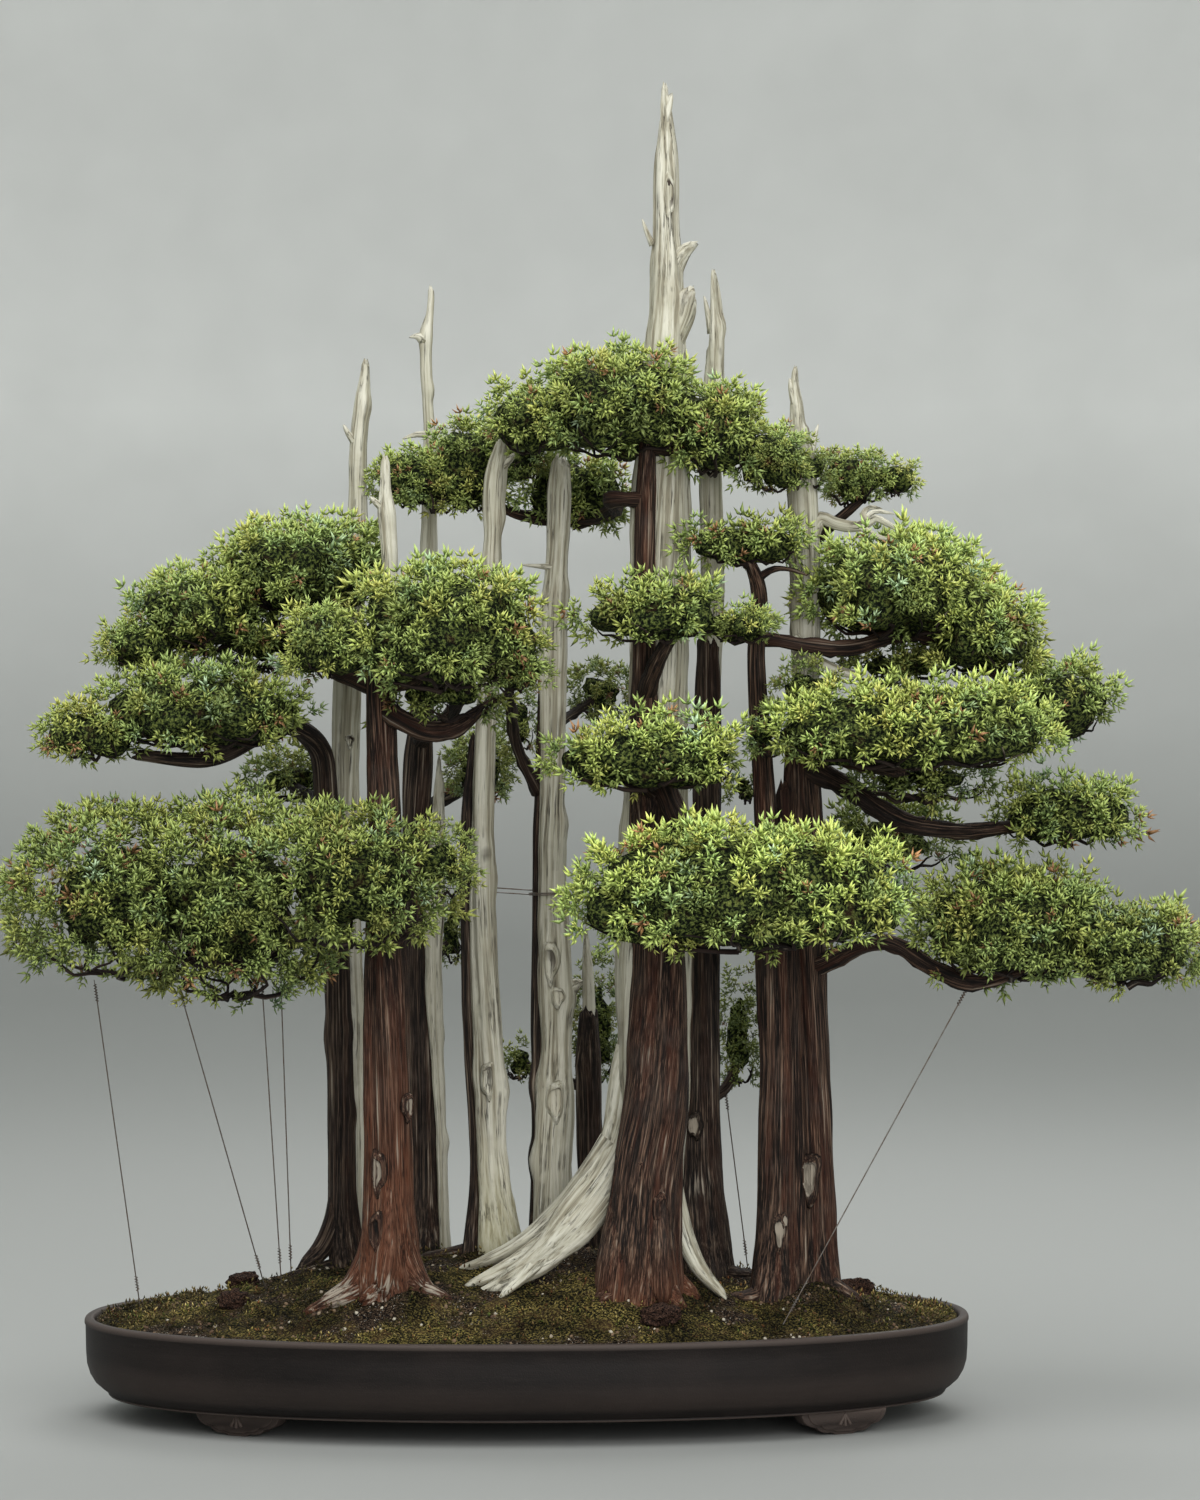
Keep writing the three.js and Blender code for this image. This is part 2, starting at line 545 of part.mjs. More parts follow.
// The soil fills the pot to just under its lip and rises to a mound. Its side follows the pot's inner wall.
function soil() {
  const [, ...wall] = POT_INSIDE;
  const under = wall.reverse().map(([r, z]) => [Math.max(0, r - SEAT_GAP), z + SEAT_GAP]);
  const over = SOIL_RINGS.map((r) => [r, SOIL_EDGE]);
  const body = lathe([...under, ...over]);
  const place = body.attributes.position;
  for (let i = 0; i < place.count; i += 1) {
    if (place.getZ(i) > SOIL_EDGE - 1) place.setZ(i, soilHeight(place.getX(i), place.getY(i)));
  }
  return solidOf(body);
}

function mesh(name, solid, colour, roughness) {
  const material = new THREE.MeshStandardMaterial({ color: colour, roughness, metalness: 0 });
  const made = new THREE.Mesh(geometryOf(solid), material);
  made.name = name;
  return made;
}

// Takes a list of sockets out of a solid.
function without(solid, sockets) {
  return sockets.reduce((whole, socket) => whole.subtract(socket), solid);
}

const forest = new THREE.Group();

for (const [name, ends] of Object.entries(WIRES)) forest.add(mesh(name, wire(ends), 0x4a4642, 0.5));
const wireSockets = Object.values(WIRES).map((ends) => wire(ends, SEAT_GAP));

// The deadwood is set into the bark of its tree.
const woodSockets = [];
for (const tree of TREES) {
  const roots = (tree.roots ?? []).map((root) => root.map(([x, y, r]) => [x, y, soilHeight(x, y) + ROOT_LIFT * r, r]));
  const live = [...tree.bark, ...roots];
  const dead = ["deadwood", "strip"].filter((kind) => tree[kind]);
  for (const kind of dead) forest.add(mesh(`${tree.name}_${kind}`, limbs(tree[kind], {}), 0xc9c4ae, 0.85));
  const deadSockets = dead.map((kind) => limbs(tree[kind], { grow: SEAT_GAP }));
  const bark = without(limbs(live, {}), [...deadSockets, ...wireSockets]);
  forest.add(mesh(`${tree.name}_bark`, largestBody(bark), 0x5a3426, 0.85));
  woodSockets.push(limbs(live, { grow: SEAT_GAP }), ...deadSockets);
}

Object.entries(PADS).forEach(([name, lumps], i) => {
  const cut = without(pad(lumps, 11 + i), [...woodSockets, ...wireSockets]);
  forest.add(mesh(`foliage_${name}`, largestBody(cut), 0x4f7030, 0.75));
});

let ground = without(soil(), [...woodSockets, ...wireSockets]);
Object.entries(ROCKS).forEach(([name, place], i) => {
  forest.add(mesh(name, rock(place, 5 + i), 0x3a2a26, 0.95));
  ground = ground.subtract(rock(place, 5 + i, SEAT_GAP));
});
DRAIN_X.forEach((x, i) => {
  forest.add(mesh(`drain_screen_${i + 1}`, screen(x), 0x20231f, 0.7));
  ground = ground.subtract(screen(x, SEAT_GAP));
});
forest.add(mesh("soil", largestBody(ground), 0x3d3a22, 1));
forest.add(mesh("pot", pot(), 0x3a2c29, 0.55));

// The part's origin is under the middle of its own box, at the level that the feet stand on.
const extent = new THREE.Box3().setFromObject(forest);
forest.position.set(-(extent.min.x + extent.max.x) / 2, -(extent.min.y + extent.max.y) / 2, -extent.min.z);

export default forest;
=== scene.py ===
"""A juniper forest bonsai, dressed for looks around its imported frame.

Ten old trunks with bleached deadwood stand in a mound of mossy soil, in a shallow oval pot on cloud feet.
The scene is in metres, +Z up. The tables of knots are in millimetres from the middle of the pot, with X along
its length and -Y towards the side that the forest is seen from, as in the solid model.
"""

import logging
import math
from collections.abc import Callable, Sequence
from dataclasses import dataclass
from enum import Enum

import bmesh
import bpy
import numpy as np
from bmesh.types import BMEdge, BMesh, BMVert
from bpy.types import Material, Mesh, Node, NodeSocket, NodeTree, Object
from mathutils import Matrix, Vector


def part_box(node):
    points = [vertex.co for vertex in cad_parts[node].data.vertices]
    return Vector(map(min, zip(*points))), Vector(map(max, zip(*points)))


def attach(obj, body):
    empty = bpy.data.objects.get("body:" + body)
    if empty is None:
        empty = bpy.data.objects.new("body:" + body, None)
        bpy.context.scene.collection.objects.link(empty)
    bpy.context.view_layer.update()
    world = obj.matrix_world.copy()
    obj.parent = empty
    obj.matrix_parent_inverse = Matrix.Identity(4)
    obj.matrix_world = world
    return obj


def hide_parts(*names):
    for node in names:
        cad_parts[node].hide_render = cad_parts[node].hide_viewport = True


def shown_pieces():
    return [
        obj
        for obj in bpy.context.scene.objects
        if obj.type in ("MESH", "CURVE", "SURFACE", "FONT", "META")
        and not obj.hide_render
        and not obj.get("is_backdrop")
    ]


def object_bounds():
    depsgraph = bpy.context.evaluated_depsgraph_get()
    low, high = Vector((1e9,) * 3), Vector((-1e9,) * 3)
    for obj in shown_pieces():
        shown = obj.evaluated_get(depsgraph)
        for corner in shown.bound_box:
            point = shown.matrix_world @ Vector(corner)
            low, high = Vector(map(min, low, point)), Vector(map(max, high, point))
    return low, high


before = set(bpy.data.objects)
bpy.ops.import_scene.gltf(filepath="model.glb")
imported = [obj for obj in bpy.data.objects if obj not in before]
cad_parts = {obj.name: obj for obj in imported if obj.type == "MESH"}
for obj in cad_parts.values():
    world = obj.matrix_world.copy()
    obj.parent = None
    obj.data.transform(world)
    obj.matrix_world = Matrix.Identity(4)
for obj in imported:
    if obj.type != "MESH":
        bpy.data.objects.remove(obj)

LOG = logging.getLogger("forest")

Flat = tuple[float, float]
Spot = tuple[float, float, float]
Knot = tuple[float, float, float, float]  # x, y, z and radius
Limb = Sequence[Knot]
Root = Sequence[tuple[float, float, float]]  # x, y and radius of each knot, which lies on the soil
Lump = tuple[float, float, float, float, float, float, float]
Tone = tuple[int, int, int]  # red, green and blue of the screen, 0 to 255
Sockets = bpy.types.bpy_prop_collection

MM = 0.001
CAD_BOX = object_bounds()
POT_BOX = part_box("pot")

POT_HALF_LENGTH = 398.0
POT_HALF_WIDTH = 229.0
POT_HEIGHT = 84.0
POT_MIDDLE = np.array([
    (POT_BOX[0].x + POT_BOX[1].x) / 2, (POT_BOX[0].y + POT_BOX[1].y) / 2, POT_BOX[1].z - POT_HEIGHT * MM
])
FOOT_HEIGHT = 14.0
FLOOR_TOP = 25.0
LIP_WIDTH = 9.0
OVAL_POWER = 2.2
POWER_ABOVE = 1.9
POWER_BELOW = 2.6
MOUND_RISE = 64.0
MOUND_POWER = 1.2
SOIL_EDGE = 81.0
SOIL_HALF_WIDTH = 218.4
STAIN_FOOT = 90.0  # level that the stains on the trunks are measured from
BOUGH_FOOT = 240.0  # from here up boughs are knottier and darker with painted shade from the pads above,
BOUGH_RISE = 160.0  # over this height


class Side(Enum):
    """Which kind of wood a limb shows."""

    BARK = "bark"
    DEADWOOD = "deadwood"


@dataclass(frozen=True)
class Burl:
    """A swelling, scar or hole on a trunk, at a place in the pot's millimetres.

    A pale burl is a healed scar of bare wood, and a dark one is a hole, shown by painted shade. An eye is a
    scar with a raised lip, as tall as `tall` times its width.
    """

    place: Spot
    reach: float
    height: float
    pale: float = 0.0
    dark: float = 0.0
    eye: bool = False
    tall: float = 1.5


@dataclass(frozen=True)
class Split:
    """A side of a trunk that has broken away above a height, leaving a jagged step."""

    heading: float
    half_angle: float
    above: float
    depth: float


@dataclass(frozen=True)
class Tree:
    """One tree: its live limbs, dead limbs and surface roots, each a list of knots, and its marks.

    Fingers are the finer ends that a dead root splits into, and flanges are low ribs of bark.
    """

    number: int
    red: bool
    bark: Sequence[Limb]
    deadwood: Sequence[Limb] = ()
    strip: Sequence[Limb] = ()
    roots: Sequence[Root] = ()
    fingers: Sequence[Limb] = ()
    flanges: Sequence[Limb] = ()
    burls: Sequence[Burl] = ()
    splits: Sequence[Split] = ()
    warm_below: float = 0.0
    green_below: float = 0.0


TREES: tuple[Tree, ...] = (
    Tree(
        number=1,
        red=False,
        roots=[[(-172, 24, 9), (-192, 14, 7), (-214, 6, 4)]],
        flanges=[[(-171, 26, 210, 6), (-176, 25, 162, 9), (-187, 22, 138, 9), (-206, 16, 122, 5)]],
        bark=[
            [(-162, 28, 106, 19), (-167, 28, 156, 13.5), (-169, 28, 250, 12), (-171, 28, 364, 12),
             (-174, 27, 455, 11.5), (-180, 23, 546, 10.5), (-187, 17, 595, 10), (-204, -2, 611, 9),
             (-286, -62, 583, 7), (-345, -82, 588, 4.5)],
            [(-174, 26, 462, 8), (-205, 0, 424, 9), (-255, -62, 404, 9), (-300, -98, 408, 6)],
            [(-180, 30, 536, 7), (-200, 76, 548, 6), (-222, 112, 562, 4)],
        ],
        deadwood=[
            [(-151, 40, 108, 6.5), (-153, 40, 240, 5.5), (-155, 41, 345, 8), (-161, 43, 472, 9.5),
             (-163, 44, 560, 12.5), (-161, 44, 660, 12.5), (-152, 44, 810, 9), (-152, 44, 868, 7.8),
             (-148, 44, 910, 7), (-146, 44, 930, 5), (-145, 44, 947, 3.4)],
            [(-153, 42, 870, 4), (-161, 40, 881, 2.6), (-165, 39, 888, 1.4)],
        ],
        burls=[
            Burl((-160, 33, 600), 4, 2, dark=0.8, eye=True, tall=1.2),
            Burl((-152, 34, 515), 6, 3),
            Burl((-181, 20, 330), 10, 3),
            Burl((-156, 20, 336), 8, 2.5),
            Burl((-155, 20, 262), 8, 3),
            Burl((-141, 40, 905), 6, 2.5),
        ],
        splits=[Split(0.4, 0.9, 916, 0.55)],
    ),
    Tree(
        number=2,
        red=True,
        warm_below=360,
        roots=[
            [(-134, -124, 14), (-158, -132, 9), (-190, -138, 5)],
            [(-106, -128, 13), (-88, -134, 8), (-66, -140, 4.5)],
            [(-124, -134, 12), (-132, -144, 8), (-140, -150, 5)],
        ],
        bark=[
            [(-118, -120, 96, 31), (-119, -120, 140, 26), (-119, -120, 180, 22.5), (-119, -117, 340, 20.5),
             (-120, -114, 459, 17.5), (-124, -108, 600, 13.5), (-125, -105, 653, 13), (-123, -100, 700, 10)],
            [(-125, -104, 646, 9), (-165, -98, 662, 8), (-222, -45, 706, 5)],
            [(-123, -104, 660, 9), (-104, -140, 650, 8), (-82, -176, 656, 6)],
            [(-120, -116, 446, 9), (-106, -152, 428, 8), (-98, -190, 440, 5)],
            [(-122, -110, 626, 9), (-111, -120, 619, 9), (-82, -112, 606, 8.5), (-56, -96, 612, 7),
             (-36, -86, 627, 5), (-14, -68, 640, 3)],
        ],
        deadwood=[
            [(-121, -94, 672, 6), (-117, -89, 740, 6), (-120, -86, 801, 8), (-121, -86, 822, 5.6),
             (-121, -86, 838, 4.4), (-121, -86, 851, 3.2)],
            [(-122, -88, 804, 4), (-130, -88, 811, 2.8), (-134, -88, 815, 1.6)],
        ],
        flanges=[
            [(-108, -122, 220, 5), (-106, -125, 170, 9), (-100, -128, 142, 11), (-86, -133, 121, 8),
             (-64, -140, 110, 4)],
            [(-130, -121, 220, 6), (-132, -122, 170, 10), (-138, -124, 142, 11), (-152, -128, 121, 9),
             (-178, -134, 110, 4.5)],
            [(-118, -134, 210, 5), (-119, -137, 170, 9), (-122, -141, 142, 11), (-126, -145, 118, 9)],
        ],
        burls=[
            Burl((-162, -134, 114), 16, 0, pale=0.5),
            Burl((-82, -136, 114), 14, 0, pale=0.42),
            Burl((-126, -150, 122), 13, 0, pale=0.35),
            Burl((-100, -137, 281), 5, 2.5, pale=0.4, eye=True),
            Burl((-128, -140, 224), 6, 3, pale=0.4, eye=True, tall=2.0),
            Burl((-130, -143, 172), 6, 3, dark=0.7, eye=True, tall=1.8),
        ],
    ),
    Tree(
        number=3,
        red=False,
        bark=[
            [(-92, 86, 104, 24), (-94, 86, 156, 16), (-97, 88, 268, 14), (-103, 95, 452, 13),
             (-98, 100, 600, 12), (-95, 101, 652, 10)],
            [(-98, 92, 600, 8), (-86, 44, 614, 8), (-72, -20, 618, 7), (-44, -140, 650, 3.5)],
            [(-100, 100, 534, 7), (-72, 122, 548, 6), (-48, 138, 560, 4)],
            [(-102, 98, 392, 6), (-86, 124, 402, 5), (-72, 146, 412, 3.5)],
        ],
        deadwood=[
            [(-95, 102, 606, 7), (-92, 106, 711, 8), (-90, 110, 823, 7.5), (-89, 112, 879, 6),
             (-91, 112, 916, 4.8), (-92, 112, 967, 5.2), (-89, 112, 1000, 4.4),
             (-88, 112, 1014, 3.8), (-88, 112, 1021, 3)],
            [(-94, 110, 970, 3), (-100, 108, 975, 2), (-107, 107, 974, 0.9)],
            [(-90, 112, 884, 3.5), (-102, 110, 884, 2.5), (-114, 108, 880, 1)],
        ],
        strip=[
            [(-76, 75, 108, 6), (-80, 75, 240, 5), (-86, 75, 398, 8), (-81, 75, 527, 6.5),
             (-80, 75, 586, 1.5)],
        ],
        burls=[
            Burl((-75, 74, 232), 6, 3),
            Burl((-71, 74, 560), 6, 3),
            Burl((-74, 74, 330), 6, 2),
            Burl((-96, 108, 975), 7, 3),
            Burl((-85, 108, 925), 5, 3),
        ],
        splits=[Split(2.9, 0.9, 985, 0.4), Split(0.2, 0.8, 1003, 0.4)],
    ),
    Tree(
        number=4,
        red=False,
        green_below=250,
        roots=[[(-54, 6, 8), (-74, 12, 6), (-96, 20, 4)]],
        bark=[
            [(-50, 2, 126, 10), (-46, 3, 185, 7), (-51, 3, 365, 6.5), (-51, 3, 546, 5.5), (-46, 3, 604, 4)],
        ],
        deadwood=[
            [(-22, -5, 124, 25), (-26, -5, 160, 18.5), (-31, -5, 230, 13), (-32, -5, 284, 14.5),
             (-37, -5, 402, 12), (-38, -5, 546, 11), (-31, -5, 690, 9.5), (-28, -5, 780, 8.5),
             (-24, -5, 846, 9), (-21, -5, 860, 7.6), (-19, -5, 869, 6), (-18, -5, 873, 4.2)],
            [(-20, -6, 847, 5), (-12, -7, 854, 3.2), (-7, -7, 859, 1.6)],
        ],
        burls=[
            Burl((-18, -8, 284), 10, 4),
            Burl((-34, -20, 296), 6, 3, dark=0.4, eye=True, tall=1.8),
            Burl((-33, -17, 360), 6, 1.5, dark=0.4),
            Burl((-27, -6, 475), 9, 2.5),
            Burl((-34, -17, 498), 6, 2, dark=0.7),
            Burl((-19, -8, 800), 7, 2.5),
            Burl((-26, -12, 640), 7, 1.5),
        ],
        splits=[Split(2.6, 0.8, 852, 0.5)],
    ),
    Tree(
        number=5,
        red=False,
        green_below=150,
        bark=[
            [(9, 30, 128, 9), (10, 31, 200, 7), (11, 31, 364, 6.5), (14, 31, 546, 6), (18, 34, 690, 4)],
            [(12, 32, 552, 6), (-6, 16, 590, 5.5), (-12, -50, 640, 4), (-16, -110, 654, 3)],
            [(17, 36, 604, 6), (34, 76, 618, 5.5), (66, 122, 640, 4)],
        ],
        deadwood=[
            [(23, 25, 126, 20), (23, 25, 200, 17.5), (25, 25, 273, 17), (26, 25, 318, 14.5),
             (26, 25, 373, 16), (24, 25, 455, 13), (26, 25, 600, 11.5), (28, 25, 727, 12), (30, 25, 764, 10),
             (32, 25, 818, 11.5), (33, 25, 855, 9)],
            [(28, 22, 757, 4), (14, 18, 758, 2.5), (-2, 14, 759, 1)],
            [(34, 24, 372, 7), (44, 22, 378, 5), (50, 20, 380, 2.5)],
        ],
        burls=[
            Burl((7, 24, 220), 9, 5),
            Burl((8, 25, 287), 8, 4),
            Burl((22, 9, 400), 6, 3, dark=0.6, eye=True, tall=2.0),
            Burl((29, 10, 368), 6, 3, pale=0.4, eye=True, tall=1.0),
            Burl((26, 8, 274), 8, 3.5, pale=0.4, eye=True),
            Burl((42, 22, 366), 8, 4),
            Burl((38, 24, 524), 8, 4),
            Burl((22, 12, 505), 7, 1.5, dark=0.3),
            Burl((42, 24, 735), 7, 2.5),
        ],
        splits=[Split(1.2, 0.7, 846, 0.35), Split(-0.3, 0.9, 849, 0.45)],
    ),
    Tree(
        number=6,
        red=False,
        bark=[
            [(60, 110, 102, 15), (58, 110, 183, 12), (57, 110, 304, 11), (57, 110, 350, 8)],
            [(60, 112, 300, 6), (62, 134, 306, 5), (64, 152, 318, 3.5)],
            [(56, 112, 276, 5), (34, 122, 284, 4.5), (-6, 134, 299, 3.5)],
        ],
        deadwood=[
            [(57, 111, 320, 5.5), (56, 111, 359, 6.5), (55, 111, 400, 4.5), (54, 111, 427, 1)],
        ],
        burls=[Burl((48, 100, 300), 6, 2.5)],
    ),
    Tree(
        number=7,
        red=True,
        warm_below=150,
        roots=[
            [(84, -144, 14), (73, -154, 9), (65, -160, 5)],
            [(122, -146, 14), (131, -155, 9), (137, -161, 5)],
            [(132, -124, 12), (143, -129, 7), (151, -133, 4)],
        ],
        bark=[
            [(101, -128, 94, 38), (103, -128, 136, 34), (105, -127, 210, 30), (114, -124, 285, 28),
             (118, -118, 372, 24.5), (115, -106, 503, 20), (108, -98, 617, 12.5), (108, -93, 723, 10.5),
             (110, -89, 830, 9), (114, -86, 905, 5)],
            [(108, -92, 812, 8), (84, -82, 813, 8), (82, -30, 812, 7.5), (82, 30, 811, 7.5), (64, 78, 806, 7),
             (20, 88, 804, 6), (-62, 52, 828, 3.5)],
            [(112, -90, 858, 6), (196, -98, 846, 4)],
            [(108, -102, 640, 9), (118, -132, 668, 8), (130, -154, 690, 5)],
            [(113, -112, 556, 10), (104, -148, 568, 8), (114, -172, 580, 5)],
            [(122, -112, 560, 11), (144, -146, 510, 10), (190, -214, 452, 6)],
        ],
        flanges=[
            [(88, -132, 236, 6), (85, -139, 184, 12), (81, -144, 144, 16), (78, -147, 108, 18)],
            [(116, -138, 236, 6), (117, -144, 184, 12), (118, -148, 144, 15), (119, -150, 108, 17)],
        ],
        deadwood=[
            [(110, -98, 102, 23), (111, -96, 190, 25), (113, -94, 270, 30), (114, -92, 423, 33),
             (116, -85, 503, 30), (121, -75, 635, 26), (124, -67, 831, 26), (126, -63, 902, 21),
             (129, -60, 1009, 15), (128, -60, 1071, 11.5), (128, -60, 1125, 9.5), (128, -60, 1150, 6.5),
             (127, -60, 1170, 4.5), (127, -60, 1183, 2.6)],
            [(100, -92, 330, 17), (96, -92, 290, 20), (85, -95, 240, 17), (46, -110, 178, 19),
             (20, -114, 150, 14), (-10, -113, 129, 9), (-42, -110, 112, 4)],
            [(50, -100, 170, 14), (15, -98, 152, 11), (-20, -101, 134, 7), (-50, -106, 120, 4)],
            [(130, -94, 205, 9), (140, -104, 162, 9.5), (154, -115, 134, 7.5), (176, -124, 111, 3)],
            [(131, -60, 940, 8), (137, -62, 962, 11), (143, -64, 979, 12), (146, -66, 991, 11),
             (149, -66, 998, 8)],
            [(132, -60, 1014, 9), (140, -61, 1029, 7.5), (147, -61, 1037, 5.5), (155, -62, 1041, 3)],
            [(116, -60, 1040, 3), (110, -60, 1054, 1.8), (107, -60, 1063, 0.8)],
            [(128, -60, 1150, 4), (132, -60, 1168, 3), (133, -60, 1174, 2)],
        ],
        fingers=[
            [(78, -96, 246, 13), (34, -92, 188, 11), (-3, -86, 156, 8), (-34, -77, 139, 5.5),
             (-60, -68, 130, 2.5)],
            [(44, -106, 176, 13), (10, -116, 142, 9), (-8, -122, 124, 6), (-22, -128, 112, 2.5)],
            [(42, -96, 172, 12), (2, -98, 146, 7.5), (-22, -97, 132, 5.5), (-44, -92, 123, 2.5)],
            [(60, -102, 200, 12), (26, -106, 158, 8), (-2, -108, 136, 6), (-30, -118, 116, 2.5)],
        ],
        burls=[
            Burl((131, -71, 1084), 5, 1.5, dark=0.85, eye=True, tall=2.6),
            Burl((146, -77, 993), 9, 2, dark=0.5),
            Burl((92, -150, 240), 4, 1.5, dark=0.8, eye=True),
            Burl((100, -153, 226), 4, 1.5, dark=0.8, eye=True),
            Burl((120, -154, 192), 6, 2.5, dark=0.6, eye=True),
        ],
        splits=[Split(0.15, 0.9, 1122, 0.75), Split(3.3, 0.6, 1112, 0.3), Split(0.3, 1.2, 1148, 0.4)],
    ),
    Tree(
        number=8,
        red=False,
        roots=[[(174, -18, 10), (190, -24, 7), (206, -30, 4.5)]],
        bark=[
            [(160, -15, 108, 29), (159, -15, 156, 22), (158, -15, 195, 20), (160, -15, 366, 15),
             (163, -15, 546, 13), (166, -14, 692, 11)],
            [(162, -6, 274, 6), (180, 18, 284, 5), (192, 36, 306, 3.5)],
        ],
        deadwood=[
            [(167, -12, 652, 8), (169, -12, 740, 10), (169, -12, 834, 10), (173, -12, 960, 8),
             (173, -12, 990, 6), (171, -12, 1022, 2.8)],
            [(170, -12, 966, 4.5), (163, -13, 999, 1.2)],
        ],
        burls=[
            Burl((151, -35, 255), 6, 3, pale=0.7, eye=True, tall=1.2),
            Burl((180, -14, 973), 6, 3),
            Burl((153, -35, 200), 12, 1, pale=0.35),
        ],
        splits=[Split(3.3, 0.8, 952, 0.4), Split(-0.2, 0.7, 976, 0.45)],
    ),
    Tree(
        number=9,
        red=True,
        roots=[[(206, -96, 9), (196, -104, 7), (182, -110, 4)]],
        flanges=[[(239, -70, 92, 15), (240, -72, 200, 11), (236, -71, 400, 10), (231, -70, 560, 8)]],
        bark=[
            [(218, -86, 92, 24), (221, -86, 150, 18.5), (222, -86, 282, 15.5), (218, -86, 423, 13.5),
             (213, -87, 547, 9.5), (206, -94, 670, 8), (206, -106, 741, 6.5), (198, -114, 760, 4.5)],
            [(208, -94, 690, 7), (284, -102, 680, 7), (344, -92, 692, 6), (400, -84, 668, 5),
             (462, -76, 622, 4)],
            [(208, -106, 742, 4.5), (222, -108, 750, 3.2), (236, -110, 749, 2.6), (250, -112, 744, 1.6)],
        ],
        burls=[
            Burl((224, -104, 166), 5, 2, pale=0.7, eye=True, tall=2.2),
            Burl((229, -103, 176), 3, 1.5, pale=0.6, eye=True),
            Burl((216, -100, 330), 7, 2),
        ],
    ),
    Tree(
        number=10,
        red=True,
        roots=[[(272, -66, 9), (286, -74, 6), (298, -80, 4)]],
        bark=[
            [(260, -58, 90, 23), (258, -58, 150, 18.5), (256, -58, 244, 17.5), (252, -58, 404, 16.5),
             (248, -58, 546, 17), (249, -56, 648, 12)],
            [(249, -44, 620, 8), (252, -36, 700, 6.5), (258, -30, 770, 5.5), (308, -20, 820, 3.5)],
            [(248, -64, 612, 9), (276, -104, 586, 8.5), (332, -152, 570, 6)],
            [(250, -60, 576, 10), (288, -74, 556, 9), (334, -84, 526, 8.5), (388, -86, 518, 7.5),
             (450, -80, 524, 5)],
            [(254, -60, 396, 9), (328, -104, 418, 7.5), (356, -114, 400, 7.5), (388, -121, 386, 7.5),
             (440, -124, 396, 5)],
            [(250, -52, 500, 8), (286, -10, 484, 7), (328, 52, 488, 4.5)],
        ],
        deadwood=[
            [(250, -54, 610, 10), (251, -54, 700, 13.5), (249, -54, 840, 13), (247, -54, 872, 9.5),
             (245, -54, 900, 7), (243, -54, 920, 4.6), (243, -54, 931, 3)],
            [(243, -56, 896, 4), (239, -56, 912, 2.6), (238, -56, 921, 1.4)],
            [(255, -55, 780, 9), (266, -57, 797, 6.5), (278, -60, 792, 5.5), (292, -63, 789, 5),
             (304, -66, 790, 4.5), (313, -68, 796, 3.8), (322, -70, 792, 3), (333, -72, 786, 2.2),
             (345, -74, 782, 1.5)],
            [(307, -66, 792, 3.8), (302, -62, 800, 3), (308, -58, 806, 2.2), (319, -56, 805, 1.2)],
            [(296, -64, 791, 3.5), (318, -74, 778, 2.5), (334, -82, 775, 1)],
            [(300, -62, 791, 3), (312, -60, 802, 2.4), (330, -62, 800, 0.8)],
            [(240, -82, 690, 5), (258, -86, 671, 4.6), (278, -90, 660, 4.2), (298, -92, 655, 3)],
            [(254, -54, 846, 5), (263, -54, 880, 1)],
        ],
        burls=[
            Burl((251, -82, 213), 8, 3, pale=1.0, eye=True, tall=1.7),
            Burl((270, -62, 420), 8, 3, pale=0.5),
            Burl((244, -62, 470), 7, 2),
        ],
        splits=[Split(0.2, 0.9, 876, 0.5), Split(2.8, 0.7, 900, 0.4)],
    ),
)

